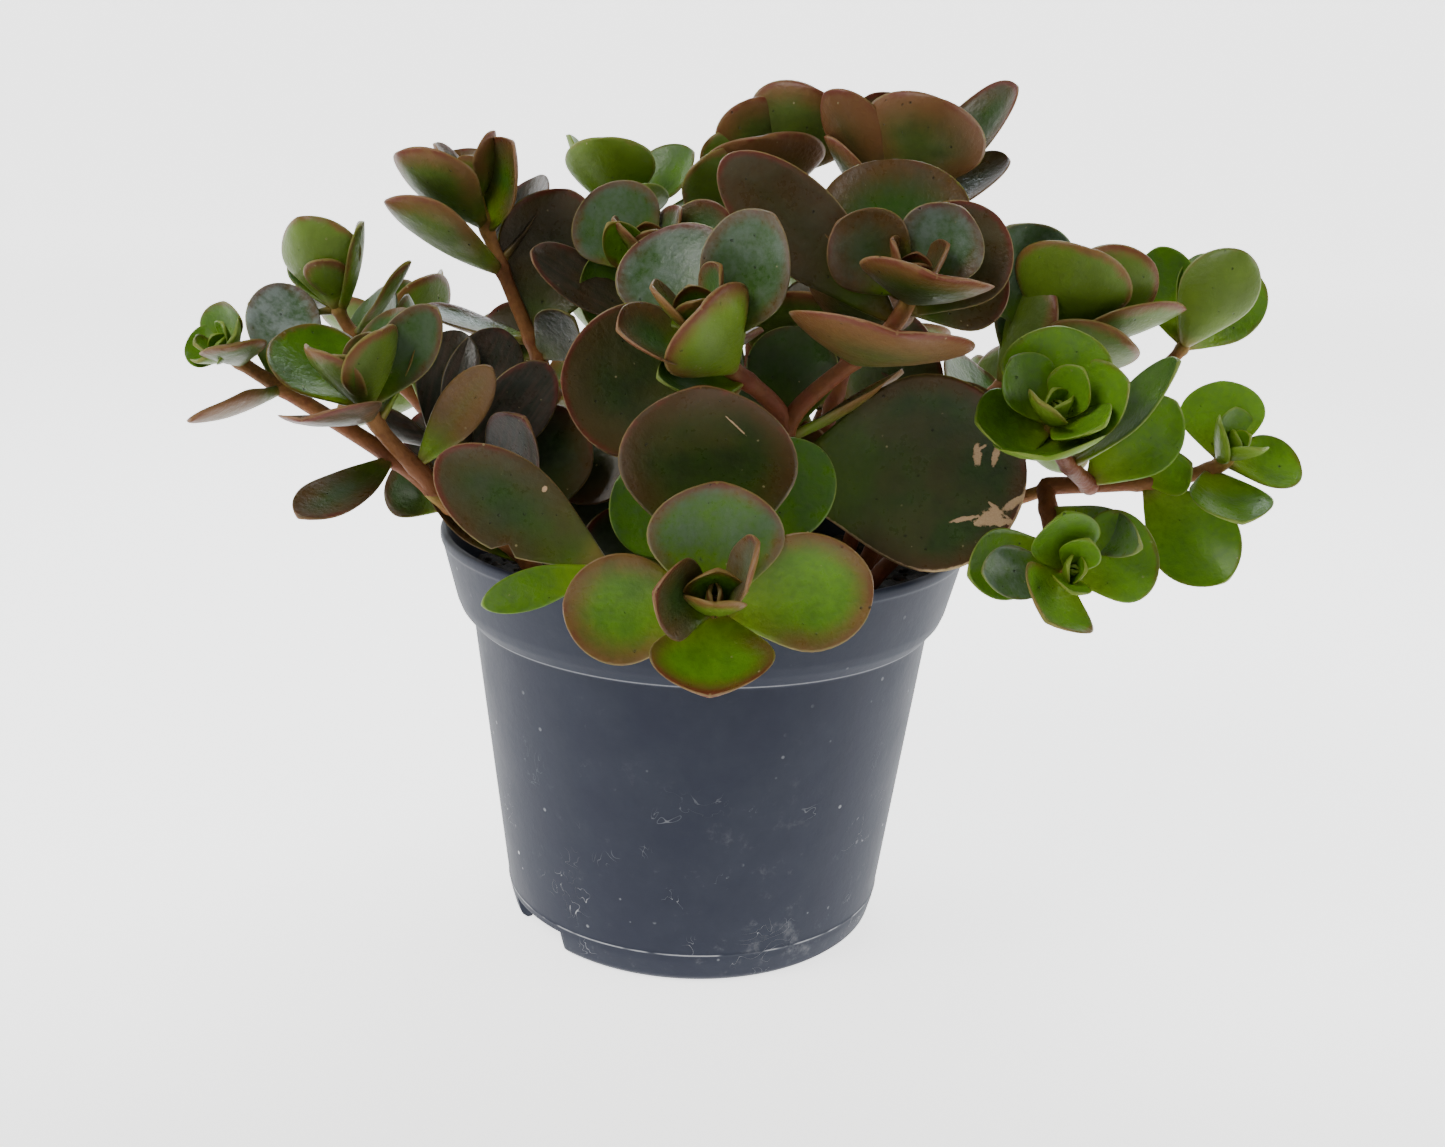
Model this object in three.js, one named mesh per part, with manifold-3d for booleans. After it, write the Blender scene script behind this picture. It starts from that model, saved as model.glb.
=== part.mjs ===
// A broad-leaved stonecrop in its plastic nursery pot: leafy shoots with opposite, fleshy leaves, rooted
// in compost. Millimetres, +Z up, -Y is the front.
// Every piece is made about the pot's axis with the ground at 0. At the end the whole plant is moved
// sideways, so that the origin lies on the ground under the middle of its extent.
import * as THREE from 'three';
import { mergeVertices } from 'three/addons/utils/BufferGeometryUtils.js';
import Module from 'manifold-3d';

const wasm = await Module();
wasm.setup();

// Driving dimensions
const pot = {
  height: 82,
  rimRadius: 52.5,
  collarRadius: 49.4, // lower end of the collar, where it turns in
  collarFoot: 68.6,
  ledgeRadius: 46.1, // the wall just under the ledge
  ledgeHeight: 64.4,
  wallRadius: 38.9, // the wall just above the foot
  footRadius: 36.6,
  floorUnderside: 6, // the skirt below the floor is this tall
  wall: 1.2,
  facets: 36,
};
const notch = { angles: [216, 36], width: 17, height: 5.2 };
const drain = { holes: 6, circle: 24, radius: 4 };
const compost = { top: 70, bumps: 1.1, gap: 0.35, rings: 3, facets: 20 };
const stem = { radius: 1.9, tipRadius: 1.2, sides: 5, steps: 5, step: 15, sunk: 14, holeGap: 0.35 };
const leaf = {
  width: 0.82,
  petiole: 0.22,
  widest: 0.6,
  shoulder: 1.5,
  thickness: 1.7,
  steps: [0, 0, 0, 15, 30, 99], // the longest leaf that has as many steps as its place in this list
};
const room = { clearance: 2.3, sampleStep: 3.1, freeRoot: 0.2 };
const bronzeNodes = [
  'shoot_centre',
  'shoot_dark',
  'shoot_top',
  'shoot_top_right',
  'shoot_upper_left',
  'shoot_low_left',
];

const up = new THREE.Vector3(0, 0, 1);
const rad = THREE.MathUtils.degToRad;

const material = (color, roughness) => new THREE.MeshStandardMaterial({ color, roughness, metalness: 0 });
const materials = {
  pot: material(0x3d4350, 0.5),
  compost: material(0x1d1612, 1),
  green: material(0x4d7a1c, 0.4),
  bronze: material(0x5a4426, 0.4),
};

// A closed geometry as a solid that can be cut and joined.
const solidOf = (geometry) => {
  geometry.deleteAttribute('normal');
  geometry.deleteAttribute('uv');
  const { attributes, index } = mergeVertices(geometry, 1e-4);
  const triVerts = new Uint32Array(index.array);
  const vertProperties = attributes.position.array;
  return new wasm.Manifold(new wasm.Mesh({ numProp: 3, vertProperties, triVerts }));
};

// The largest body of a solid as a mesh: a scrap that a cut left loose is dropped.
const meshOf = (name, solid, look) => {
  const [body] = solid.decompose().sort((a, b) => b.volume() - a.volume());
  const { vertProperties, triVerts } = body.getMesh();
  const geometry = new THREE.BufferGeometry();
  geometry.setAttribute('position', new THREE.BufferAttribute(vertProperties, 3));
  geometry.setIndex(new THREE.BufferAttribute(triVerts, 1));
  geometry.computeVertexNormals();
  const mesh = new THREE.Mesh(geometry, look);
  mesh.name = name;
  return mesh;
};

const eachVertex = (geometry, place) => {
  const { position } = geometry.attributes;
  for (let i = 0; i < position.count; i += 1) {
    const p = place(new THREE.Vector3().fromBufferAttribute(position, i));
    position.setXYZ(i, p.x, p.y, p.z);
  }
  return geometry;
};

// A closed turned body about +Z from its profile as [radius, height], which runs up the outside.
const turned = (profile, facets) =>
  new THREE.LatheGeometry(profile.map(([r, z]) => new THREE.Vector2(r, z)), facets).rotateX(Math.PI / 2);

// Outside of the pot from the foot to the rim, as [radius, height].
const outside = [
  [pot.footRadius, 0],
  [pot.footRadius + 1.3, 1.2],
  [pot.wallRadius, 5],
  [pot.ledgeRadius, pot.ledgeHeight - 0.4],
  [pot.ledgeRadius + 0.5, pot.ledgeHeight],
  [pot.collarRadius - 0.8, pot.collarFoot - 2],
  [pot.collarRadius, pot.collarFoot],
  [pot.rimRadius, pot.height - 0.5],
  [pot.rimRadius - 0.3, pot.height],
];
const potFloor = pot.floorUnderside + pot.wall;

// The pot's outer radius at a height.
const radiusAt = (height) => {
  const i = Math.max(1, outside.findIndex(([, z]) => z >= height));
  const [[r0, z0], [r1, z1]] = [outside[i - 1], outside[i]];
  return THREE.MathUtils.mapLinear(height, z0, z1, r0, r1);
};

const makePot = () => {
  const inner = outside.slice(3).reverse();
  const profile = [
    [0, pot.floorUnderside],
    [pot.wallRadius - 2.4, pot.floorUnderside],
    [pot.footRadius - pot.wall, 0],
    ...outside,
    ...inner.map(([r, z]) => [r - pot.wall, z]),
    [radiusAt(potFloor + 1) - pot.wall, potFloor + 1],
    [radiusAt(potFloor) - pot.wall - 1, potFloor],
    [0, potFloor],
  ];
  let solid = solidOf(turned(profile, pot.facets));
  for (const angle of notch.angles) {
    const cut = new THREE.BoxGeometry(20, notch.width, 2 * notch.height).translate(pot.footRadius, 0, 0);
    solid = solid.subtract(solidOf(cut.rotateZ(rad(angle))));
  }
  for (let i = 0; i < drain.holes; i += 1) {
    const hole = new THREE.CylinderGeometry(drain.radius, drain.radius, 12, 8).rotateX(Math.PI / 2);
    hole.translate(drain.circle, 0, pot.floorUnderside).rotateZ((i * 2 * Math.PI) / drain.holes);
    solid = solid.subtract(solidOf(hole));
  }
  return solid;
};

// Shoots. root: where the stem stands in the compost, as [x, y], or where it forks from another stem, as
// [x, y, z]. tip: the end of the stem. aim: the way the tip grows, as azimuth from +X and elevation.
// rise, reach: how far the stem runs straight up from its root and straight on into its tip.
// pairs: leaf pairs from the tip down, each [place along the stem from 0 to 1, length, opening from the
// stem]; every pair stands at right angles to the one before it, and roll turns them all.
// leaves: single leaves, each [place, turn round the stem, length, opening, width / length, twist].
const rosette = (size, spread = 64) => [
  [0.985, 0.64 * size, 0.5 * spread],
  [0.955, 0.94 * size, 0.8 * spread],
  [0.9, size, 1.1 * spread],
];
// Pairs at even steps down the stem.
const below = (high, low, count, size, open = 74) =>
  Array.from({ length: count }, (_, i) => [high + ((low - high) * i) / Math.max(1, count - 1), size, open]);

const shoots = [
  { node: 'shoot_front', root: [3, -24], tip: [2, -62, 84], aim: [-88, 46], rise: 38, reach: 7, roll: 90,
    pairs: [],
    leaves: [[0.96, 0, 22, 70, 1.02], [0.96, 180, 17.5, 53, 1.16], [0.91, 74, 27, 84, 0.78],
      [0.91, 270, 25, 84, 0.78], [0.6, 355, 34, 88, 0.88], [0.5, 42, 26, 98, 0.7, -10],
      [0.5, 303, 22, 92, 0.78, 16], [0.985, 265, 16, 38, 0.85, -20], [0.985, 48, 19, 27, 0.5, -38]] },
  { node: 'shoot_centre', root: [16, -20], tip: [14, -30, 108], aim: [-90, 70],
    rise: 20, reach: 10, roll: 0,
    pairs: [],
    leaves: [[0.67, 93, 44, 86, 0.82, 62], [0.45, 300, 24, 70], [0.96, 7, 21, 50, 0.8, 4],
      [0.9, 311, 22, 85, 0.8, -47], [0.95, 60, 26, 75, 0.42, -40]] },
  { node: 'shoot_centre', root: [14, -30, 107], tip: [-2, -40, 127], aim: [-110, 60],
    rise: 8, reach: 9, roll: 55,
    pairs: [[0.98, 13, 28]],
    leaves: [[0.94, 325, 22, 62, 0.95], [0.62, 106, 23, 34, 0.84, -18], [0.84, 52, 26, 58, 0.66, 40],
      [0.84, 221, 18, 36, 0.85, -20], [0.5, 186, 20, 30, 0.5, -55], [0.5, 245, 33, 42, 0.84, -60]] },
  { node: 'shoot_centre', root: [14, -30, 107], tip: [34, -36, 134.5], aim: [-90, 64],
    rise: 8, reach: 12, roll: 90,
    pairs: [[0.985, 11, 26]],
    leaves: [[0.92, 338, 27, 57, 1, -20], [0.95, 184, 23, 50, 0.98], [0.97, 50, 17, 32, 0.9, 30],
      [0.97, 285, 18, 55, 0.85, -55], [0.88, 60, 21, 62, 0.8, 40], [0.56, 198, 32, 66, 0.98, 40],
      [0.8, 285, 41, 81, 0.38, -75], [0.85, 40, 24, 32, 0.8, 19]] },
  { node: 'shoot_right', root: [28, -14], tip: [66, -19, 97], aim: [-20, 30],
    rise: 16, reach: 14, roll: 40,
    pairs: [], leaves: [] },
  { node: 'shoot_right', root: [72.2, -20.6, 97], tip: [59, -43, 114], aim: [-88, 54],
    rise: 1, reach: 9, roll: 50,
    pairs: [[0.98, 11, 30], [0.95, 14, 48]],
    leaves: [[0.84, 184, 17, 42, 1.1], [0.9, 262, 15, 60, 0.95], [0.9, 80, 16, 56, 0.95],
      [0.9, 12, 18, 54, 1.05], [0.5, 64, 29, 64, 0.36, -25], [0.17, 67, 24, 65, 0.63, 30]] },
  { node: 'shoot_right', root: [64, -19, 96.5], tip: [95, -28, 106], aim: [-75, 58],
    rise: 1, reach: 10, roll: 0,
    pairs: [[0.985, 9, 36]],
    leaves: [[0.92, 345, 15, 58, 1, -60], [0.93, 100, 15, 66, 0.9], [0.83, 200, 16, 72, 1, 45],
      [0.92, 280, 11, 50], [0.56, 190, 24, 56, 0.68, 90], [0.55, 285, 12, 80, 0.8, -150]] },
  { node: 'shoot_right', root: [64, -19.3, 95.8], tip: [64, -44, 87], aim: [-84, 34],
    rise: 1, reach: 8, roll: 20,
    pairs: [[0.98, 9, 34]],
    leaves: [[0.88, 70, 17, 88, 1, -18], [0.9, 222, 14, 38, 1.2], [0.9, 274, 17, 71, 0.6, 30],
      [0.3, 37, 28, 40, 0.3, -75], [0.9, 345, 15, 56], [0.6, 276, 21, 74, 0.62, 50]] },
  { node: 'shoot_dark', root: [-20, -10], tip: [-51, -21, 102], aim: [165, 50],
    rise: 10, reach: 12, roll: 30,
    pairs: [],
    leaves: [[0.985, 305, 24, 52, 0.5, 75], [0.9, 308, 29, 75, 0.5, 78], [0.78, 337, 25.5, 85, 0.5, 78],
      [0.97, 120, 16, 40, 0.6], [0.7, 250, 22, 70, 0.6], [0.64, 20, 24, 60, 0.6, 60],
      [0.5, 330, 24, 60, 0.7, 60]] },
  { node: 'shoot_left', root: [-24, -24], tip: [-50, -31, 94.5], aim: [170, 40],
    rise: 12, reach: 12, roll: 30,
    pairs: [], leaves: [[0.45, 223, 26, 50, 0.45, 20], [0.88, 237, 15, 38, 0.8, -12]] },
  { node: 'shoot_left', root: [-49, -31, 94], tip: [-60, -35, 112], aim: [-100, 76],
    rise: 4, reach: 8, roll: 10,
    pairs: [[0.98, 12, 26]],
    leaves: [[0.93, 290, 21, 52, 0.9], [0.92, 64, 22, 48, 0.48, 60], [0.95, 215, 16, 30, 0.9],
      [0.95, 110, 17, 28, 0.9], [0.86, 190, 18, 62, 1.1], [0.78, 20, 22, 62],
      [0.35, 75, 24, 77, 0.36, 75]] },
  { node: 'shoot_left', root: [-49, -31, 94], tip: [-86.4, -27.5, 118.2], aim: [-102, 36],
    rise: 4, reach: 9, roll: 45,
    pairs: [[0.985, 7, 26]],
    leaves: [[0.7, 17, 25, 61, 0.56, 90], [0.7, 187, 21, 70, 0.5, -20], [0.95, 98, 9, 52, 1.1],
      [0.94, 186, 7.5, 44, 1.2], [0.3, 207, 24, 83, 0.44, -75], [0.95, 8, 9.5, 50, 1.2],
      [0.95, 266, 8, 50, 1.2], [0.88, 122, 13, 78, 0.9, -45]] },
  { node: 'shoot_left_top', root: [-26, -4], tip: [-71.5, -6, 125.5], aim: [-90, 80],
    rise: 20, reach: 14, roll: 0,
    pairs: [[0.985, 11, 30]],
    leaves: [[0.95, 282, 20, 52, 0.66], [0.95, 200, 19, 30, 0.94], [0.94, 80, 18, 36, 0.76],
      [0.94, 350, 18, 40], [0.84, 96, 19, 74, 0.66], [0.84, 262, 17, 66], [0.74, 10, 20, 60],
      [0.74, 190, 20, 66], [0.6, 90, 22, 66]] },
  { node: 'shoot_upper_left', root: [-18, 0], tip: [-45.5, 0, 145.5], aim: [170, 78],
    rise: 20, reach: 18, roll: 0,
    pairs: [[0.985, 13, 28]],
    leaves: [[0.9, 125, 22, 38, 0.9], [0.88, 20, 19, 42, 0.85, 60], [0.92, 240, 18, 40],
      [0.78, 140, 26, 40, 0.86], [0.62, 346, 30, 38, 0.74, 80], [0.8, 300, 22, 56, 0.7],
      [0.62, 194, 24, 57, 0.4], [0.58, 223, 17, 53, 0.75, -38], [0.5, 58, 25, 126, 0.78, 19],
      [0.45, 105, 21, 87, 0.65, -78], [0.58, 35, 16, 67, 0.7, 100]] },
  { node: 'shoot_inner_left', root: [-6, -8], tip: [-12, -8, 135], aim: [-100, 70],
    rise: 20, reach: 14, roll: 60,
    pairs: [[0.985, 12, 34]],
    leaves: [[0.94, 295, 19, 50, 0.95, -50], [0.94, 80, 19, 60, 0.8, 50], [0.93, 262, 12, 36, 0.6, -60],
      [0.86, 350, 21, 60], [0.76, 262, 27.5, 70, 0.42, -50], [0.76, 120, 20, 66],
      [0.64, 258, 25, 52, 0.6, -82], [0.9, 220, 16, 34, 0.5, -112], [0.62, 80, 22, 70],
      [0.5, 330, 22, 76], [0.38, 120, 22, 70], [0.3, 255, 23, 68, 0.8, -85],
      [0.2, 240, 19, 64, 0.8, -85]] },
  { node: 'shoot_top_left', root: [-10, 14], tip: [-20, 28, 143], aim: [-90, 82],
    rise: 30, reach: 14, roll: 0,
    pairs: [[0.985, 14, 28]],
    leaves: [[0.95, 272, 19, 32, 0.62], [0.95, 190, 20, 38, 0.94], [0.95, 88, 20, 52, 0.7, 40],
      [0.94, 0, 20, 44], [0.86, 165, 20, 66], [0.84, 270, 20, 66], [0.84, 80, 21, 66], [0.7, 180, 24, 70],
      [0.7, 0, 22, 66]] },
  { node: 'shoot_top', root: [6, 16], tip: [12, 28, 151], aim: [-90, 84], rise: 30, reach: 14, roll: 0,
    pairs: [[0.985, 14, 28]],
    leaves: [[0.95, 223, 19, 37, 0.9, 45], [0.95, 150, 23, 36, 0.95, -39], [0.94, 0, 22, 44],
      [0.86, 192, 22, 58, 1.1, 15], [0.9, 250, 18, 61, 0.75, 60], [0.8, 228, 24, 71, 0.75, 50],
      [0.76, 120, 24, 66], [0.66, 180, 26, 70], [0.66, 0, 24, 66],
      [0.5, 150, 26, 66], [0.5, 51, 28, 76, 0.9, 75], [0.4, 300, 26, 66, 0.9, -60],
      [0.4, 67, 28, 53, 0.9, 70]] },
  { node: 'shoot_top_right', root: [18, 4], tip: [36, 9, 149.5], aim: [-90, 84],
    rise: 30, reach: 16, roll: 0,
    pairs: [[0.985, 14, 28]],
    leaves: [[0.96, 266, 25, 54, 0.6, 40], [0.95, 168, 24, 32, 1, -24], [0.95, 88, 31, 39, 0.48, 30],
      [0.97, 300, 20, 27, 0.8, -60], [0.88, 92, 25, 50, 0.56, 30], [0.86, 276, 22, 62], [0.76, 20, 24, 66],
      [0.66, 96, 26, 66], [0.56, 190, 26, 64], [0.56, 10, 24, 70], [0.45, 53, 28, 65, 0.9, 65],
      [0.42, 315, 28, 64, 0.9, -65], [0.32, 60, 26, 56, 0.9, 65], [0.3, 220, 24, 60]] },
  { node: 'shoot_right_upper', root: [30, 2], tip: [67, 2, 124], aim: [0, 62],
    rise: 18, reach: 14, roll: 0,
    pairs: [[0.985, 15, 22]],
    leaves: [[0.95, 298, 24, 44, 0.95, 23], [0.92, 250, 27, 24, 0.7, -10], [0.9, 205, 29, 36, 0.7],
      [0.95, 5, 25, 60, 0.8, -95], [0.78, 10, 20, 68, 0.5, -60], [0.84, 240, 24, 50], [0.84, 60, 22, 54],
      [0.74, 340, 24, 56], [0.7, 190, 22, 66], [0.6, 270, 24, 70], [0.6, 90, 24, 66]] },
  { node: 'shoot_far_right', root: [32, 10], tip: [94.5, 4, 123], aim: [10, 76],
    rise: 18, reach: 16, roll: 40,
    pairs: [[0.985, 14, 20]],
    leaves: [[0.95, 307, 22.5, 30, 0.66, 20], [0.95, 2, 20.5, 48, 0.6, -105], [0.94, 141, 23, 27, 0.6, 50],
      [0.95, 80, 20, 24, 0.8]] },
  { node: 'shoot_low_left', root: [-14, -32], tip: [-17, -47, 87], aim: [-120, 50],
    rise: 6, reach: 5, roll: 60,
    pairs: [], leaves: [[0.9, 275, 35, 57, 0.47, -20], [0.9, 214, 25, 76, 0.28, -40]] },
  { node: 'shoot_back_left', root: [-24, 14], tip: [-66, 34, 112], aim: [150, 70],
    rise: 14, reach: 14, roll: 20,
    pairs: [...rosette(22, 60), ...below(0.76, 0.5, 2, 24)], leaves: [] },
  { node: 'shoot_back', root: [-8, 30], tip: [-16, 66, 108], aim: [100, 52],
    rise: 14, reach: 14, roll: 10,
    pairs: [...rosette(24, 60), ...below(0.76, 0.5, 2, 24)], leaves: [] },
  { node: 'shoot_back_right', root: [16, 28], tip: [34, 58, 116], aim: [60, 66],
    rise: 18, reach: 14, roll: 50,
    pairs: [...rosette(24, 60), ...below(0.76, 0.5, 2, 24)], leaves: [] },
  { node: 'shoot_low_back', root: [-22, 26], tip: [-44, 56, 92], aim: [125, 40],
    rise: 28, reach: 12, roll: 40,
    pairs: [...rosette(20, 66), [0.72, 22, 74]], leaves: [] },
  { node: 'shoot_low_back_right', root: [30, 22], tip: [70, 46, 98], aim: [35, 46],
    rise: 34, reach: 12, roll: 70,
    pairs: [...rosette(21, 66), [0.72, 22, 74]], leaves: [] },
];

// The stem's curve and, at any place on it, its direction with the two directions square to it.
const stemOf = ({ root, tip, aim, rise, reach }) => {
  const [azimuth, elevation] = aim.map(rad);
  const ahead = new THREE.Vector3(Math.cos(azimuth), Math.sin(azimuth), 0);
  const side = new THREE.Vector3(-ahead.y, ahead.x, 0);
  const grow = ahead.clone().multiplyScalar(Math.cos(elevation)).addScaledVector(up, Math.sin(elevation));
  const [x, y, fork] = root;
  const start = new THREE.Vector3(x, y, fork ?? compost.top - stem.sunk);
  const end = new THREE.Vector3(...tip);
  const lift = start.clone().addScaledVector(up, fork ? rise : rise + stem.sunk);
  const curve = new THREE.CubicBezierCurve3(start, lift, end.clone().addScaledVector(grow, -reach), end);
  const frameAt = (t) => {
    const along = curve.getTangent(t);
    const across = side.clone().addScaledVector(along, -side.dot(along)).normalize();
    return { point: curve.getPoint(t), along, across, top: along.clone().cross(across) };
  };
  return { curve, frameAt };
};

// A tube along the stem, from a cylinder whose rings are carried to the curve. With extra it is wider and
// starts lower, as the hole for the stem.
const stemGeometry = ({ curve, frameAt }, extra = 0) => {
  const steps = Math.max(stem.steps, Math.ceil(curve.getLength() / stem.step));
  return eachVertex(new THREE.CylinderGeometry(1, 1, 1, stem.sides, steps), ({ x, y, z }) => {
    const t = 0.5 - y;
    const { point, across, top } = frameAt(t);
    if (t < 1e-6) point.z -= extra;
    const radius = extra + THREE.MathUtils.lerp(stem.radius, stem.tipRadius, t);
    return point.addScaledVector(across, x * radius).addScaledVector(top, z * radius);
  });
};

// Half the width of a leaf as a share of its greatest: a narrow base that widens, and a round end.
const widthAt = (s) => {
  if (s > leaf.widest) return Math.sqrt(Math.max(0, 1 - ((s - leaf.widest) / (1 - leaf.widest)) ** 2));
  return leaf.petiole + (1 - leaf.petiole) * Math.sin((Math.PI / 2) * (s / leaf.widest)) ** leaf.shoulder;
};

// A blade is an arc in the plane of the stem and `away`: it leaves at more than its opening and curls back
// towards the stem's own direction, and its edges rise as a cup. s runs from its root to its tip, v from
// edge to edge, and w from the underside to the upper face, both from -1 to 1.
const bladeOf = ({ point, ...frame }, { turn, length, open, width = leaf.width, twist = 0 }) => {
  const out = frame.top.clone().multiplyScalar(Math.cos(turn)).addScaledVector(frame.across, Math.sin(turn));
  const line = frame.along.clone().multiplyScalar(Math.cos(open)).addScaledVector(out, Math.sin(open));
  const [along, away] = [frame.along, out].map((v) => v.clone().applyAxisAngle(line, twist));
  const across = along.clone().cross(away);
  const curl = rad(44) - 0.3 * open;
  const cup = 0.4 - 0.14 * open;
  const half = (length * width) / 2;
  const start = open + curl / 2;
  const pointAt = (s, v, w) => {
    const angle = start - curl * s;
    const wide = half * widthAt(s);
    const thick = leaf.thickness * (1 - 0.45 * s) * Math.min(1, 0.6 + length / 60);
    const inward = cup * wide * v * v + (w * thick) / 2;
    const [sin, cos] = [Math.sin(angle), Math.cos(angle)];
    return point
      .clone()
      .addScaledVector(along, (length * (Math.sin(start) - sin)) / curl + inward * sin)
      .addScaledVector(away, (length * (cos - Math.cos(start))) / curl - inward * cos)
      .addScaledVector(across, v * wide);
  };
  return { length, half, pointAt };
};

// A closed blade from a sphere of few facets, whose poles become the leaf's root and tip.
const bladeGeometry = ({ length, pointAt }) => {
  const steps = leaf.steps.findIndex((longest) => length <= longest);
  return eachVertex(new THREE.SphereGeometry(1, 4, steps), ({ x, y, z }) => {
    const polar = Math.acos(THREE.MathUtils.clamp(y, -1, 1));
    const ring = Math.max(Math.sin(polar), 1e-6);
    return pointAt(Math.sin(polar / 2) ** 1.2, x / ring, z / ring);
  });
};

// What stands already, as points in a grid of cells, each with its shoot's node and its row of the table.
const cells = new Map();
const cellOf = (value) => Math.floor(value / room.clearance);
const keyOf = (x, y, z) => `${x},${y},${z}`;
const stand = (points, owner) => {
  for (const p of points) {
    const key = keyOf(cellOf(p.x), cellOf(p.y), cellOf(p.z));
    if (!cells.has(key)) cells.set(key, []);
    cells.get(key).push({ p, owner });
  }
};
const isMet = (q, meets) => {
  const [x, y, z] = [cellOf(q.x), cellOf(q.y), cellOf(q.z)];
  for (let i = x - 1; i <= x + 1; i += 1) {
    for (let j = y - 1; j <= y + 1; j += 1) {
      for (let k = z - 1; k <= z + 1; k += 1) {
        const found = cells.get(keyOf(i, j, k)) ?? [];
        if (found.some(({ p, owner }) => meets(owner) && p.distanceTo(q) < room.clearance)) return true;
      }
    }
  }
  return false;
};

const meetsPot = ({ x, y, z }) => {
  if (z > pot.height + 1.3) return false;
  const radius = Math.hypot(x, y);
  const wall = radiusAt(THREE.MathUtils.clamp(z, 0, pot.height));
  return radius < wall + 1.5 && (radius > wall - pot.wall - 1.5 || z < compost.top + compost.bumps + 1.5);
};

const bladeSamples = ({ length, half, pointAt }) => {
  const rows = Math.ceil(((1 - room.freeRoot) * length) / room.sampleStep);
  const columns = 2 * Math.ceil(half / room.sampleStep);
  const points = [];
  for (let i = 0; i <= rows; i += 1) {
    for (let j = 0; j <= columns; j += 1) {
      points.push(pointAt(room.freeRoot + ((1 - room.freeRoot) * i) / rows, (2 * j) / columns - 1, 0));
    }
  }
  return points;
};

const stemSamples = ({ frameAt }) => {
  const points = [];
  for (let i = 0; i <= 40; i += 1) {
    const { point, across, top } = frameAt(i / 40);
    for (let j = 0; j < 4; j += 1) {
      const angle = (j * Math.PI) / 2;
      const ring = across.clone().multiplyScalar(Math.cos(angle)).addScaledVector(top, Math.sin(angle));
      points.push(point.clone().addScaledVector(ring, stem.radius - 0.4));
    }
  }
  return points;
};

// How a leaf may give way, least first: it closes or opens, swings round the stem, or stays smaller.
const gives = [1, 0.82, 0.66].flatMap((scale) =>
  [0, 12, -12, 24, -24]
    .flatMap((swing) => [0, -9, 9, -18, 18, -27, 27, -36].map((lean) => ({ scale, swing, lean })))
    .sort((a, b) => Math.abs(a.swing) + Math.abs(a.lean) - Math.abs(b.swing) - Math.abs(b.lean)),
);

// A leaf is tried as the table has it and then in each way it may give, until it is clear of every other
// shoot, the compost and the pot. One that finds no room isn't grown.
const growLeaf = (frame, [, turn, length, open, width, twist = 0], owner) => {
  const meets = (other) => (other.isStem ? other.node !== owner.node : other.row !== owner.row);
  for (const { scale, swing, lean } of gives) {
    const blade = bladeOf(frame, {
      turn: rad(turn + swing),
      length: length * scale,
      open: rad(Math.max(4, open + lean)),
      width,
      twist: rad(twist),
    });
    const points = bladeSamples(blade);
    if (points.some((p) => meetsPot(p) || isMet(p, meets))) continue;
    stand(points, owner);
    return blade;
  }
  return null;
};

const stems = shoots.map(stemOf);
stems.forEach((one, row) => stand(stemSamples(one), { row, node: shoots[row].node, isStem: true }));

const inPairs = ({ roll, pairs }) =>
  pairs.flatMap(([place, length, open], k) =>
    [0, 180].map((half) => [place, roll + 90 * k + half, length, open]));

const solids = new Map();
shoots.forEach((shoot, row) => {
  const owner = { row, node: shoot.node, isStem: false };
  const leaves = [...shoot.leaves, ...inPairs(shoot)];
  const blades = leaves.map((one) => growLeaf(stems[row].frameAt(one[0]), one, owner));
  const grown = blades.filter(Boolean).map((blade) => solidOf(bladeGeometry(blade)));
  const others = solids.has(shoot.node) ? [solids.get(shoot.node)] : [];
  solids.set(shoot.node, wasm.Manifold.union([solidOf(stemGeometry(stems[row])), ...grown, ...others]));
});

// Compost: a filling that follows the pot's inside, with an uneven top and a plain hole for each stem.
const makeCompost = () => {
  const fit = (z) => radiusAt(z) - pot.wall - compost.gap;
  const low = potFloor + compost.gap;
  const topRadius = fit(compost.top);
  const rings = Array.from({ length: compost.rings }, (_, i) => topRadius * (1 - i / compost.rings));
  const profile = [
    [0, low],
    [fit(low) - 1.2, low],
    [fit(low + 1.2), low + 1.2],
    [fit(pot.ledgeHeight - 0.5), pot.ledgeHeight - 0.5],
    [fit(pot.collarFoot - 2.2), pot.collarFoot - 2.2],
    ...rings.map((r) => [r, compost.top]),
    [0, compost.top],
  ];
  const body = eachVertex(turned(profile, compost.facets), (p) => {
    if (p.z < compost.top - 1e-3) return p;
    const wave = Math.sin(0.31 * p.x + 1.2) * Math.cos(0.27 * p.y) + 0.5 * Math.sin(0.55 * p.x - 0.47 * p.y);
    p.z += compost.bumps * 0.6 * wave;
    return p;
  });
  const rooted = stems.filter((_, row) => shoots[row].root.length === 2);
  const holes = rooted.map((one) => solidOf(stemGeometry(one, stem.holeGap)));
  return solidOf(body).subtract(wasm.Manifold.union(holes));
};

const plant = new THREE.Group();
plant.add(meshOf('pot', makePot(), materials.pot));
plant.add(meshOf('compost', makeCompost(), materials.compost));
for (const [node, solid] of solids) {
  plant.add(meshOf(node, solid, bronzeNodes.includes(node) ? materials.bronze : materials.green));
}

const middle = new THREE.Box3().setFromObject(plant).getCenter(new THREE.Vector3());
plant.position.set(-middle.x, -middle.y, 0);

export default plant;
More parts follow.
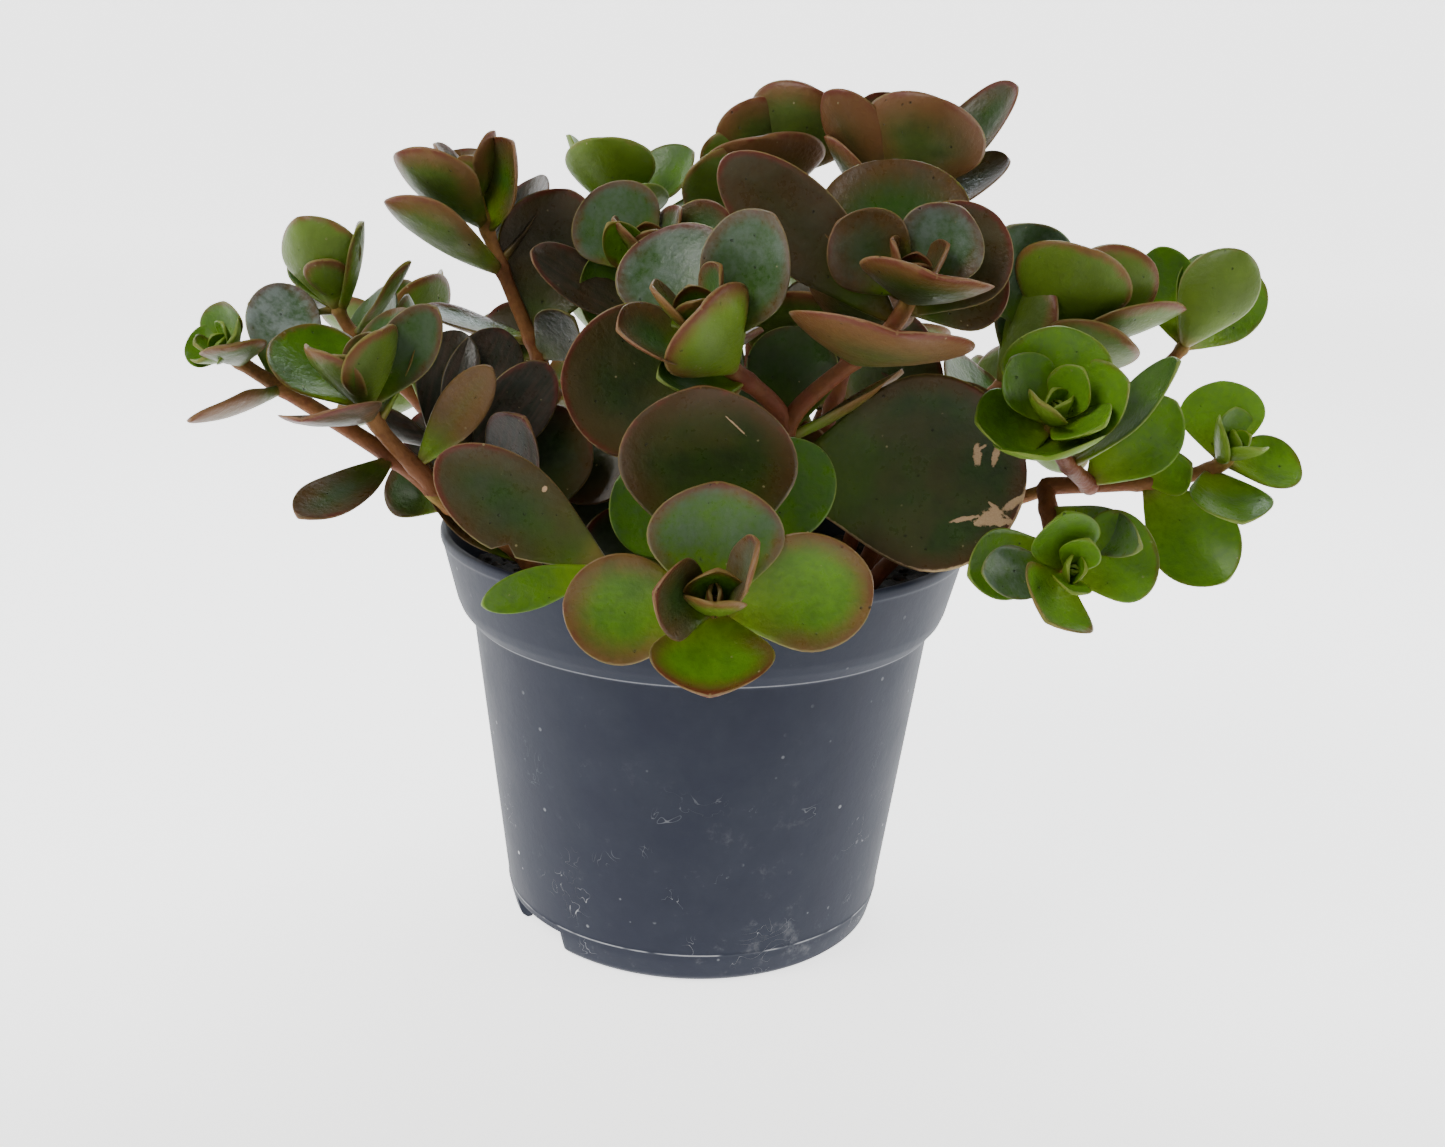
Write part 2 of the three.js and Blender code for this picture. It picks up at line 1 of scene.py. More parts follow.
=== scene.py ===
import bpy
import numpy as np
from mathutils import Matrix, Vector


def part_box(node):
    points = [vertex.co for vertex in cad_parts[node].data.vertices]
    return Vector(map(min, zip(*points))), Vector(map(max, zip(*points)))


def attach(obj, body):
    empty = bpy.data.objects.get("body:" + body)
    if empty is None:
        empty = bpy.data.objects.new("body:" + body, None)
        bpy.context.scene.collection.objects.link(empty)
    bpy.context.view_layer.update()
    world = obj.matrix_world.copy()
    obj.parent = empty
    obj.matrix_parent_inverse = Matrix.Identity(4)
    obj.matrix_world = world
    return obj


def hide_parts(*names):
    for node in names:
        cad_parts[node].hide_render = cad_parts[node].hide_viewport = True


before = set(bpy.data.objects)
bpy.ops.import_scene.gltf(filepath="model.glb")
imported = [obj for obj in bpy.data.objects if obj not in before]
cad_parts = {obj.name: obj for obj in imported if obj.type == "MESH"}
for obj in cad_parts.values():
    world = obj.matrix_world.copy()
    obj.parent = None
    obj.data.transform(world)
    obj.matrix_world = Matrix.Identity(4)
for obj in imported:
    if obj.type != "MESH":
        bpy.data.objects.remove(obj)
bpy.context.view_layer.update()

# All measures are millimetres about the pot's axis with the ground at 0. The frame's origin lies beside
# that axis, so `placed` moves the points there and makes them metres.
potLow, potHigh = (np.array(corner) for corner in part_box("pot"))
axisPlace = np.append((potLow + potHigh)[:2] / 2, 0)
up = np.array([0.0, 0.0, 1.0])


def placed(points):
    # metres in the frame = millimetres / 1000 + the place of the pot's axis
    return np.asarray(points, float) / 1000 + axisPlace


def unit(vectors):
    # every vector divided by its own length
    return vectors / np.linalg.norm(vectors, axis=-1, keepdims=True)


def eased(value, low, high):
    # 0 at low, 1 at high and 3 x^2 - 2 x^3 between them
    x = np.clip((value - low) / (high - low), 0, 1)
    return x * x * (3 - 2 * x)


def around(count):
    # that many angles, evenly round a full turn
    return np.arange(count) * 2 * np.pi / count


def heading(angle):
    # (cos a, sin a)
    return np.stack([np.cos(angle), np.sin(angle)], -1)


def closedSkin(rings, first, last):
    # rings[i, j] are the points of closed rings. Two triangles fill each cell between two rings, fans to
    # the poles `first` and `last` close the ends, and all turn round if the volume comes out negative.
    rows, columns = rings.shape[:2]
    points = np.vstack([first, rings.reshape(-1, 3), last])
    here = np.arange(columns)
    after = (here + 1) % columns
    base = 1 + columns * np.arange(rows - 1)[:, None]
    a, b = base + here, base + after
    end = len(points) - 1
    lastRing = 1 + columns * (rows - 1)
    faces = np.concatenate([
        np.stack([a, b, b + columns], -1).reshape(-1, 3),
        np.stack([a, b + columns, a + columns], -1).reshape(-1, 3),
        np.stack([np.zeros(columns, int), after + 1, here + 1], -1),
        np.stack([np.full(columns, end), lastRing + here, lastRing + after], -1),
    ])
    corners = points[faces] - points.mean(0)
    volume = np.einsum("ij,ij->", corners[:, 0], np.cross(corners[:, 1], corners[:, 2]))
    return points, faces if volume > 0 else faces[:, ::-1]


def joined(parts):
    # Several closed skins as one list of points, one of triangles and one table of marks.
    starts = np.cumsum([0] + [len(points) for points, _, _ in parts[:-1]])
    faces = np.vstack([faces + start for start, (_, faces, _) in zip(starts, parts)])
    marks = {mark: np.vstack([marks[mark] for _, _, marks in parts]) for mark in parts[0][2]}
    return np.vstack([points for points, _, _ in parts]), faces, marks


def addMesh(name, points, faces, skin, marks=None):
    # A smooth mesh of triangles; marks are vectors that its points carry for the finish.
    mesh = bpy.data.meshes.new(name)
    mesh.vertices.add(len(points))
    mesh.vertices.foreach_set("co", placed(points).astype(np.float32).ravel())
    mesh.loops.add(faces.size)
    mesh.loops.foreach_set("vertex_index", faces.astype(np.int32).ravel())
    mesh.polygons.add(len(faces))
    mesh.polygons.foreach_set("loop_start", np.arange(0, faces.size, 3, dtype=np.int32))
    mesh.update(calc_edges=True)
    for mark, values in (marks or {}).items():
        attribute = mesh.attributes.new(mark, "FLOAT_VECTOR", "POINT")
        attribute.data.foreach_set("vector", values.astype(np.float32).ravel())
    mesh.validate()
    mesh.shade_smooth()
    mesh.materials.append(skin)
    made = bpy.data.objects.new(name, mesh)
    bpy.context.scene.collection.objects.link(made)
    return made


class Wire:
    # One shader socket that plain sums can use: each operator adds a Math node.
    def __init__(self, finish, socket):
        self.finish, self.socket = finish, socket

    def math(self, operation, *others):
        return self.finish.node("Math", {"operation": operation}, dict(enumerate((self, *others))))

    def __add__(self, other):
        return self.math("ADD", other)

    def __sub__(self, other):
        return self.math("SUBTRACT", other)

    def __rsub__(self, other):
        return self.finish.node("Math", {"operation": "SUBTRACT"}, {0: other, 1: self})

    def __mul__(self, other):
        return self.math("MULTIPLY", other)

    __radd__, __rmul__ = __add__, __mul__

    def __abs__(self):
        return self.math("ABSOLUTE")

    def ease(self, low, high):
        # 0 at low, 1 at high, smooth between them
        settings = {"interpolation_type": "SMOOTHSTEP"}
        return self.finish.node("MapRange", settings, {0: self, 1: low, 2: high})

    def most(self, other):
        return self.math("MAXIMUM", other)

    def least(self, other):
        return self.math("MINIMUM", other)


class Finish:
    # A material under work. `node` is the one way to add a node to it.
    def __init__(self, name):
        self.material = bpy.data.materials.new(name)
        self.material.use_nodes = True
        self.tree = self.material.node_tree
        self.tree.nodes.clear()

    def node(self, kind, settings, sockets, output=0):
        made = self.tree.nodes.new("ShaderNode" + kind)
        for setting, value in settings.items():
            setattr(made, setting, value)
        for name, value in sockets.items():
            if isinstance(value, Wire):
                self.tree.links.new(value.socket, made.inputs[name])
            else:
                made.inputs[name].default_value = value
        found = [Wire(self, socket) for socket in made.outputs]
        if isinstance(output, tuple):
            return [found[k] for k in output]
        return found[output] if found else None

    def mark(self, name):
        # the three numbers of a mark on the mesh
        vector = self.node("Attribute", {"attribute_name": name}, {}, 1)
        return self.node("SeparateXYZ", {}, {0: vector}, (0, 1, 2))

    def place(self):
        # object coordinates, in metres
        return self.node("TexCoord", {}, {}, 3)

    def noise(self, size, detail=2.0, roughness=0.5, where=None, distortion=0.0):
        # noise whose features are `size` millimetres
        sockets = {"Vector": where or self.place(), "Scale": 1000 / size, "Detail": detail,
                   "Roughness": roughness, "Distortion": distortion}
        return self.node("TexNoise", {}, sockets)

    def dots(self, size, where=None):
        # distance to the nearest of scattered points, one in each cell of `size` millimetres
        return self.node("TexVoronoi", {}, {"Vector": where or self.place(), "Scale": 1000 / size})

    def mix(self, share, first, second):
        # share 0 is the first colour, 1 the second
        colours = {6: first, 7: second}
        sockets = {k: v if isinstance(v, Wire) else (*v, 1) for k, v in colours.items()}
        return self.node("Mix", {"data_type": "RGBA"}, {0: share, **sockets}, 2)

    def bump(self, height, distance):
        # height in shares of `distance` millimetres
        return self.node("Bump", {}, {"Height": height, "Distance": distance / 1000, "Strength": 1.0})

    def done(self, **sockets):
        names = {name.replace("_", " "): value for name, value in sockets.items()}
        shader = self.node("BsdfPrincipled", {}, names)
        self.node("OutputMaterial", {}, {"Surface": shader})
        return self.material


leafLook = dict(
    # the first colour of the next line is the young leaves' own yellow-green, made brighter with painted
    # light for light shining through them
    youngPaintedGlow=(0.10, 0.225, 0.003), grown=(0.021, 0.062, 0.003), old=(0.016, 0.024, 0.006),
    # the first colour of the next line is painted light: a bright yellow-green for leaf bases, standing for
    # light glowing through them
    paintedBaseGlow=(0.15, 0.25, 0.003), mottle=(0.028, 0.05, 0.006), olive=(0.048, 0.042, 0.012),
    youngBronze=(0.11, 0.046, 0.013), oldBronze=(0.05, 0.024, 0.008), oliveBronze=(0.05, 0.036, 0.009),
    youngUnder=(0.125, 0.19, 0.02), oldUnder=(0.045, 0.055, 0.014), bronzeUnder=(0.17, 0.065, 0.026),
    # the last colour of the next line is a painted sheen: reflected light painted in as a pale grey-blue
    maroon=(0.042, 0.027, 0.019), maroonStreak=(0.017, 0.018, 0.011), paintedSheen=(0.18, 0.215, 0.2),
    foot=(0.15, 0.1, 0.024), greenRim=(0.17, 0.2, 0.035), tanRim=(0.22, 0.14, 0.06),
    blush=(0.1, 0.014, 0.01), pit=(0.009, 0.009, 0.004), fleck=(0.3, 0.25, 0.13),
    scarDark=(0.28, 0.16, 0.085), scarPale=(0.52, 0.37, 0.22),
    cloudSize=5.0, mottleSize=1.1, grainSize=0.22, glossLineSize=0.9, oliveSize=13.0, pitCell=2.6, fleckCell=3.7,
    roughness=0.31, relief=0.3, specular=0.16, coat=0.07, coatRoughness=0.14,
)

# Dry scars on leaves, by the leaf's number in leafScars, each (millimetres across, along, half length,
# half width, degrees from across to along). Leaf 1 also has a dry seam on one edge.
scarPlan = {
    1: [(3.0, 35.2, 2.0, 0.8, 5), (3.2, 38.6, 2.4, 0.6, 15), (4.3, 36.0, 1.2, 0.3, 60),
        (-9.2, 37.4, 3.8, 0.8, 88), (-8.0, 37.6, 2.6, 1.3, 75), (-5.8, 41.6, 2.8, 0.7, 60),
        (-8.6, 32.6, 2.8, 0.4, 80), (-7.0, 38.6, 2.6, 0.35, 130)],
    2: [(-5.0, 26.9, 2.2, 0.16, 49)],
    3: [(-5.6, 16.5, 0.55, 0.45, 0)],
}


def leafFinish():
    # Waxy leaf skin: yellow-green at the base, brightened there with painted light, green in the middle, a
    # bronze zone towards a pale rim.
    # margin = (millimetres from the rim, place from base to tip, -1 underside to 1 upper face)
    # kind = (tone: 0 young, 1 old, 2 maroon, bronze from none to all over, chance)
    # flat = (millimetres across, millimetres along, leaf number), the sheen mark = (share of painted sheen, a
    # pale patch of reflected light painted on the upper face, 0, 0)
    c = leafLook
    leaf = Finish("stonecropLeaf")
    rim, along, face = leaf.mark("margin")
    tone, bronze, chance = leaf.mark("kind")
    across, far, number = leaf.mark("flat")
    paintedSheenAmount = leaf.mark("paintedSheen")[0]
    cloud = leaf.noise(c["cloudSize"], 3.0, 0.55)
    mottle = leaf.noise(c["mottleSize"], 3.0, 0.6)
    grain = leaf.noise(c["grainSize"], 2.0, 0.6)
    # lengthwise streaks on maroon leaves, whose lighter bands are painted highlights: glossy lines along a
    # withered blade
    glossLinePlace = leaf.node("CombineXYZ", {}, {0: across * 0.001, 1: far * 0.00012, 2: chance})
    streak = leaf.noise(c["glossLineSize"], 2.0, 0.6, glossLinePlace)
    wide = leaf.noise(c["oliveSize"], 2.0, 0.5)
    age = tone + (cloud - 0.5) * 0.4 + (chance - 0.5) * 0.1
    upper = face.ease(-0.25, 0.15)

    # green of the upper face
    # young leaves: their own yellow-green, lifted with painted light that stands for light shining through
    # them
    green = leaf.mix(age.ease(-0.15, 0.5), c["youngPaintedGlow"], c["grown"])
    green = leaf.mix(age.ease(0.4, 0.95), green, c["old"])
    # painted light: the base turns a brighter yellow-green, most in young leaves, as if light glowed through
    # the thin flesh
    paintedBaseGlow = along.ease(0.6, 0.1) * ((1 - age).ease(0.2, 1.0) * 0.6 + 0.2)
    green = leaf.mix(paintedBaseGlow, green, c["paintedBaseGlow"])
    green = leaf.mix(mottle.ease(0.35, 0.8) * 0.3, green, c["mottle"])
    green = leaf.mix(wide.ease(0.45, 0.7) * age.ease(0.5, 0.8) * 0.6, green, c["olive"])

    # bronze zone, which reaches in from the rim
    reach = bronze * bronze * 12 + bronze * 3.0 + 0.05
    inside = (rim + (cloud - 0.5) * 3.2 + (mottle - 0.5) * 0.9).math("DIVIDE", reach)
    zone = inside.ease(1.1, 0.05) * along.ease(0.12, 0.5) * bronze.ease(0.0, 0.25)
    brown = leaf.mix(age.ease(0.2, 0.8), c["youngBronze"], c["oldBronze"])
    brown = leaf.mix((cloud + chance * 0.5).ease(0.5, 1.0) * 0.6, brown, c["oliveBronze"])
    body = leaf.mix(zone * 0.9, green, brown)

    # paler underside, then maroon leaves, and a painted sheen: reflected light painted as a pale grey-blue
    # patch on the upper face
    under = leaf.mix(age.ease(0.0, 1.0), c["youngUnder"], c["oldUnder"])
    under = leaf.mix(zone * 0.85, under, c["bronzeUnder"])
    under = leaf.mix(0.3, under, body)
    body = leaf.mix(upper, under, body)
    # maroon leaves: their own dark maroon in lengthwise streaks; the lighter streaks are painted glossy
    # highlights
    maroon = leaf.mix(streak.ease(0.35, 0.65), c["maroon"], c["maroonStreak"])
    body = leaf.mix(age.ease(0.95, 1.5) * 0.9, body, maroon)
    # painted sheen: reflected light painted on the upper face as a pale grey-blue patch over the outer part
    # of the blade
    paintedSheen = paintedSheenAmount * upper * along.ease(0.2, 0.6) * ((cloud + mottle * 0.6).ease(0.55, 1.05) * 0.8 + 0.2)
    body = leaf.mix(paintedSheen * 0.55, body, c["paintedSheen"])

    # tan foot, red blush near the tip, pale rim, dark pits and pale flecks
    body = leaf.mix(along.ease(0.2, 0.03) * 0.8, body, c["foot"])
    blush = (rim + (mottle - 0.5) * 0.7).ease(1.5, 0.35) * along.ease(0.55, 0.9)
    blush = blush * (cloud + chance * 0.3).ease(0.5, 0.75) * bronze.ease(0.1, 0.4)
    body = leaf.mix(blush * 0.7, body, c["blush"])
    paleRim = leaf.mix(bronze.ease(0.1, 0.6), c["greenRim"], c["tanRim"])
    line = (rim + (mottle - 0.5) * 0.35).ease(0.3, 0.06) * along.ease(0.1, 0.35)
    body = leaf.mix(line * ((cloud + chance * 0.3).ease(0.4, 0.9) * 0.45 + 0.15), body, paleRim)
    pits = leaf.dots(c["pitCell"]).ease(0.13, 0.07) * mottle.ease(0.5, 0.62)
    body = leaf.mix(pits * 0.7, body, c["pit"])
    shifted = leaf.node("Mapping", {}, {0: leaf.place(), 1: (0.3, 0.1, 0.7)})
    fleck = leaf.dots(c["fleckCell"], shifted).ease(0.075, 0.045)
    body = leaf.mix(fleck * mottle.ease(0.42, 0.6) * 0.6, body, c["fleck"])

    # scars: u and w are shares of the half length and half width, turned, and u u + w w is 1 at the edge
    scar = 0.0
    for scarred, marks in scarPlan.items():
        here = abs(number - scarred).ease(0.4, 0.3) * upper
        for x, y, long, thin, turn in marks:
            cos, sin = np.cos(np.radians(turn)), np.sin(np.radians(turn))
            u = ((across - x) * cos + (far - y) * sin) * (1 / long)
            w = ((across - x) * -sin + (far - y) * cos) * (1 / thin)
            patch = (u * u + w * w + (mottle - 0.5) * 3.2 + (grain - 0.5)).ease(1.25, 0.7) * here
            scar = patch.most(scar)
    seam = abs(number - 1).ease(0.4, 0.3) * across.ease(0.0, -3.0)
    scar = (seam * (rim + (mottle - 0.5) * 0.5).ease(0.6, 0.3) * 0.8).most(scar)
    body = leaf.mix(scar, body, leaf.mix(grain, c["scarDark"], c["scarPale"]))

    rough = c["roughness"] + (cloud - 0.5) * 0.2 + (mottle - 0.5) * 0.16
    rough = rough + (1 - upper) * 0.14 + line * 0.12 + scar * 0.4
    height = grain * 0.1 + mottle * 0.5 + cloud * 1.0 - pits * 0.8 + scar * 0.5
    return leaf.done(
        Base_Color=body, Roughness=rough, Normal=leaf.bump(height, c["relief"]),
        Subsurface_Weight=0.08, Subsurface_Radius=(0.5, 0.9, 0.15), Subsurface_Scale=0.001,
        Specular_IOR_Level=c["specular"], Coat_Weight=c["coat"], Coat_Roughness=c["coatRoughness"],
    )


stemLook = dict(
    root=(0.14, 0.05, 0.017), tip=(0.22, 0.105, 0.035), pink=(0.145, 0.042, 0.02),
    streak=(0.085, 0.035, 0.014), green=(0.24, 0.22, 0.04), roughness=0.5, relief=0.2, specular=0.12,
)


def stemFinish():
    # Terracotta stems that turn paler and greener towards their tips.
    # shank = (place from root to tip, chance, 0)
    c = stemLook
    stem = Finish("stonecropStem")
    along, chance, _ = stem.mark("shank")
    cloud = stem.noise(4.0, 3.0)
    streak = stem.noise(0.9, 3.0, 0.6)
    body = stem.mix(along.ease(0.25, 1.0), c["root"], c["tip"])
    body = stem.mix((cloud + chance * 0.4).ease(0.55, 0.95), body, c["pink"])
    body = stem.mix(streak.ease(0.4, 0.75) * 0.4, body, c["streak"])
    body = stem.mix(along.ease(0.86, 1.0) * 0.5, body, c["green"])
    return stem.done(
        Base_Color=body, Roughness=c["roughness"] + (streak - 0.5) * 0.3,
        Normal=stem.bump(streak + cloud, c["relief"]), Specular_IOR_Level=c["specular"],
        Subsurface_Weight=0.08, Subsurface_Radius=(0.8, 0.35, 0.15), Subsurface_Scale=0.001,
    )


potLook = dict(
    slate=(0.014, 0.017, 0.03), worn=(0.021, 0.025, 0.038), dust=(0.2, 0.2, 0.21),
    scuff=(0.42, 0.43, 0.45), scuffTop=52.0, scuffFull=8.0, roughness=0.52, relief=0.08, specular=0.2,
)


def potFinish():
    # Slate satin plastic with moulded marks: fine light lines under the ledge and over the foot, white
    # specks and scratches mostly low down, and a thin veil of dust.
    c, p = potLook, potPlan
    pot = Finish("potPlastic")
    high = pot.node("SeparateXYZ", {}, {0: pot.place()}, 2) * 1000
    cloud = pot.noise(14.0, 4.0, 0.6)
    fine = pot.noise(0.5, 2.0, 0.6)
    low = high.ease(c["scuffTop"], c["scuffFull"])
    body = pot.mix(cloud.ease(0.3, 0.75), c["slate"], c["worn"])
    dust = pot.noise(3.0, 5.0, 0.7) + (cloud - 0.5) * 0.8
    body = pot.mix(dust.ease(0.6, 0.95) * (low * 0.35 + 0.06), body, c["dust"])
    specks = pot.dots(4.2).ease(0.12, 0.06) * pot.noise(9.0, 2.0).ease(0.5, 0.62) * (low * 0.8 + 0.2)
    hairs = abs(pot.noise(7.0, 1.0, 0.5, distortion=2.5) - 0.5).ease(0.006, 0.001)
    hairs = hairs * pot.noise(11.0, 1.0).ease(0.58, 0.66) * low
    ledge = abs(high - p["ledgeHeight"]).ease(0.27, 0.1)
    bead = abs(high - p["beadHeight"]).ease(0.22, 0.05) * pot.noise(5.0, 2.0).ease(0.4, 0.6)
    marks = (ledge * (0.2 + fine * 0.35)).most(bead * 0.6).most(specks).most(hairs * 0.7)
    body = pot.mix(marks.least(1.0), body, c["scuff"])
    rough = c["roughness"] + (cloud - 0.5) * 0.22 + dust.ease(0.55, 0.95) * 0.12 + (fine - 0.5) * 0.06
    height = fine * 0.25 + pot.noise(2.2, 2.0) * 0.6 + hairs
    return pot.done(Base_Color=body, Roughness=rough, Normal=pot.bump(height, c["relief"]),
                    IOR=1.4, Specular_IOR_Level=c["specular"])


def soilFinish(name, dark, light):
    # Damp crumbs of peat: brown-black, with paler fibres.
    soil = Finish(name)
    cloud = soil.noise(2.4, 4.0, 0.65)
    fine = soil.noise(0.5, 3.0, 0.6)
    body = soil.mix((cloud + (fine - 0.5) * 0.6).ease(0.45, 0.85), dark, light)
    rough = 0.88 + (fine - 0.5) * 0.2
    return soil.done(Base_Color=body, Roughness=rough, Normal=soil.bump(cloud + fine * 0.4, 0.7))


potPlan = dict(
    height=82, rimRadius=52.5, collarRadius=49.4, collarFoot=68.6, ledgeRadius=46.1, ledgeHeight=64.4,
    wallRadius=38.9, wallFoot=5, footRadius=36.6, beadHeight=6.6, floorUnderside=6, wall=1.2, lip=1.3,
    rounding=0.45, columns=144, notchAngles=(216, 36), notchWidth=17, notchHeight=5.2,
    holes=6, holeCircle=24, holeRadius=4, holeColumns=24,
)


def potOutside():
    # The outside from foot to rim as radius and height, with the small beads of the moulding.
    p = potPlan
    foot, wall, ledge, collar, rim = (p[k + "Radius"] for k in ("foot", "wall", "ledge", "collar", "rim"))
    bead, step, turn, top = p["beadHeight"], p["ledgeHeight"], p["collarFoot"], p["height"]
    return np.array([
        (foot, 0), (foot + 1.3, 1.2), (wall, p["wallFoot"]),
        (wall + 0.18, bead - 0.3), (wall + 0.34, bead), (wall + 0.24, bead + 0.4),
        (ledge, step - 0.6), (ledge + 0.25, step - 0.35), (ledge + 0.75, step),
        (collar - 0.8, turn - 2), (collar, turn),
        (rim - 0.35, top - 2.2), (rim, top - 1.7), (rim, top - 0.4), (rim - 0.5, top),
    ])


def wallRadiusAt(z):
    # straight lines between the corners of the CAD's outside
    p = potPlan
    step, turn = p["ledgeHeight"], p["collarFoot"]
    heights = (0, 1.2, p["wallFoot"], step - 0.4, step, turn - 2, turn, p["height"])
    radii = (p["footRadius"], p["footRadius"] + 1.3, p["wallRadius"], p["ledgeRadius"],
             p["ledgeRadius"] + 0.5, p["collarRadius"] - 0.8, p["collarRadius"], p["rimRadius"])
    return np.interp(z, heights, radii)


def roundedLine(corners, reach, steps=4):
    # Every inner corner of a line becomes a parabola between the points `reach` before and after it.
    before, middle, after = corners[:-2], corners[1:-1], corners[2:]
    def towards(other):
        way = other - middle
        length = np.linalg.norm(way, axis=1, keepdims=True)
        return middle + way / length * np.minimum(reach, 0.4 * length)
    start, end = towards(before), towards(after)
    t = np.linspace(0, 1, steps)[None, :, None]
    arcs = (1 - t) ** 2 * start[:, None] + 2 * t * (1 - t) * middle[:, None] + t**2 * end[:, None]
    return np.vstack([corners[:1], arcs.reshape(-1, 2), corners[-1:]])


def turnedSkin(profile, columns):
    # The profile as radius and height turned about the axis: (r cos a, r sin a, z). Its ends are poles.
    angle = around(columns)
    radius, height = profile[1:-1, 0, None], profile[1:-1, 1, None]
    rings = np.stack([radius * np.cos(angle), radius * np.sin(angle), height + 0 * angle], -1)
    return closedSkin(rings, [0, 0, profile[0, 1]], [0, 0, profile[-1, 1]])


def prism(outline, middle, low, high):
    # an upright closed block over an outline round `middle`
    rings = np.stack([np.column_stack([outline, np.full(len(outline), z)]) for z in (low, high)])
    return (*closedSkin(rings, [*middle, low], [*middle, high]), {})


def makePot():
    # The section of the wall turned about the axis, less a round prism for each drain hole and a square one
    # for each notch of the foot.
    p = potPlan
    wall, lip, low = p["wall"], p["rimRadius"] - p["lip"], p["floorUnderside"]
    floorTop = low + wall
    under = [(0, low), (p["wallRadius"] - 2 * wall, low), (p["footRadius"] - wall, 0)]
    bends = (p["collarFoot"], p["collarFoot"] - 2, p["ledgeHeight"] - 0.4, floorTop + 1)
    inner = [(lip, p["height"]), (lip - 0.45, p["height"] - 0.7),
             *((wallRadiusAt(z) - wall, z) for z in bends),
             (wallRadiusAt(floorTop) - wall - 1, floorTop), (0, floorTop)]
    profile = roundedLine(np.vstack([under, potOutside(), inner]), p["rounding"])
    points, faces = turnedSkin(profile, p["columns"])
    pot = addMesh("nursery_pot", points, faces, potFinish())

    circle = p["holeRadius"] * heading(around(p["holeColumns"]))
    drills = []
    for middle in p["holeCircle"] * heading(around(p["holes"])):
        drills.append(prism(middle + circle, middle, low - 3, low + 4))
    for along in heading(np.radians(p["notchAngles"])):
        side = np.array([-along[1], along[0]])
        middle, ahead, half = along * p["footRadius"], along * 10, side * p["notchWidth"] / 2
        square = middle + np.array([-ahead - half, ahead - half, ahead + half, -ahead + half])
        drills.append(prism(square, middle, -6, p["notchHeight"]))
    points, faces, _ = joined(drills)
    cutter = addMesh("potCutter", points, faces, pot.data.materials[0])
    cut = pot.modifiers.new("cut", "BOOLEAN")
    cut.object, cut.operation, cut.solver = cutter, "DIFFERENCE", "EXACT"
    finished = bpy.data.meshes.new_from_object(pot.evaluated_get(bpy.context.evaluated_depsgraph_get()))
    pot.modifiers.clear()
    pot.data = finished
    bpy.data.objects.remove(cutter)
    return pot


compostPlan = dict(
    top=70, bumps=1.1, gap=0.35, sunk=14, rings=70, columns=160, seed=11,
    peatDark=(0.008, 0.006, 0.005), peatLight=(0.05, 0.03, 0.018),
    crumbs=520, crumbSize=(0.5, 1.5), crumbSides=6, crumbRings=((0.75, -0.55), (1.0, 0.0), (0.7, 0.5)),
    barkDark=(0.014, 0.009, 0.006), barkLight=(0.1, 0.055, 0.028),
)


def soilWave(x, y):
    # the swell of the filling: sin * cos plus a diagonal sine
    return np.sin(0.31 * x + 1.2) * np.cos(0.27 * y) + 0.5 * np.sin(0.55 * x - 0.47 * y)


def soilHeight(x, y):
    # swell + a few finer waves in mixed directions, in millimetres
    rough = sum(np.sin(k * (x * np.cos(k * 2.1) + y * np.sin(k * 2.1)) + k) / k
                for k in (1.3, 1.9, 2.7, 3.9))
    return compostPlan["top"] + compostPlan["bumps"] * 0.6 * soilWave(x, y) + 0.35 * rough


def makeCompost():
    # The filling is the pot's inside turned about the axis, its top raised to soilHeight. A crumb is a few
    # uneven rings, and the crumbs are spread evenly over the top.
    c, p = compostPlan, potPlan
    inset = p["wall"] + c["gap"]
    fit = lambda z: wallRadiusAt(z) - inset
    low, rim = p["floorUnderside"] + inset, fit(c["top"])
    side = [(0, low), (fit(low) - 1.2, low)]
    side += [(fit(z), z) for z in (low + 1.2, p["ledgeHeight"] - 0.5, p["collarFoot"] - 2.2)]
    profile = side + [(r, c["top"]) for r in np.linspace(rim, 0.5, c["rings"])] + [(0, c["top"])]
    points, faces = turnedSkin(np.array(profile), c["columns"])
    top = points[:, 2] > c["top"] - 1e-3
    points[top, 2] = soilHeight(points[top, 0], points[top, 1])
    peat = soilFinish("peat", c["peatDark"], c["peatLight"])
    filling = addMesh("potting_compost", points, faces, peat)

    draw = np.random.RandomState(c["seed"])
    sides = c["crumbSides"]
    angle = around(sides)
    lumps = []
    for _ in range(c["crumbs"]):
        size = c["crumbSize"][0] + c["crumbSize"][1] * draw.rand() ** 2
        radius = (rim - 2.5) * np.sqrt(draw.rand())
        turn, lean = draw.rand(2) * 2 * np.pi
        x, y = radius * heading(turn)
        circle = heading(angle + lean)
        rings = np.stack([np.column_stack([r * circle, np.full(sides, z)]) for r, z in c["crumbRings"]])
        rings = rings * (1 + 0.35 * (draw.rand(*rings.shape[:2], 1) - 0.5))
        rings = rings * size * np.array([1, 0.55 + 0.5 * draw.rand(), 0.6])
        spot = np.array([x, y, float(soilHeight(x, y)) + 0.18 * size])
        lumps.append((*closedSkin(rings + spot, spot - up * size * 0.5, spot + up * size * 0.5), {}))
    points, faces, _ = joined(lumps)
    bark = soilFinish("bark", c["barkDark"], c["barkLight"])
    crumbs = addMesh("compost_crumbs", points, faces, bark)
    return filling, crumbs


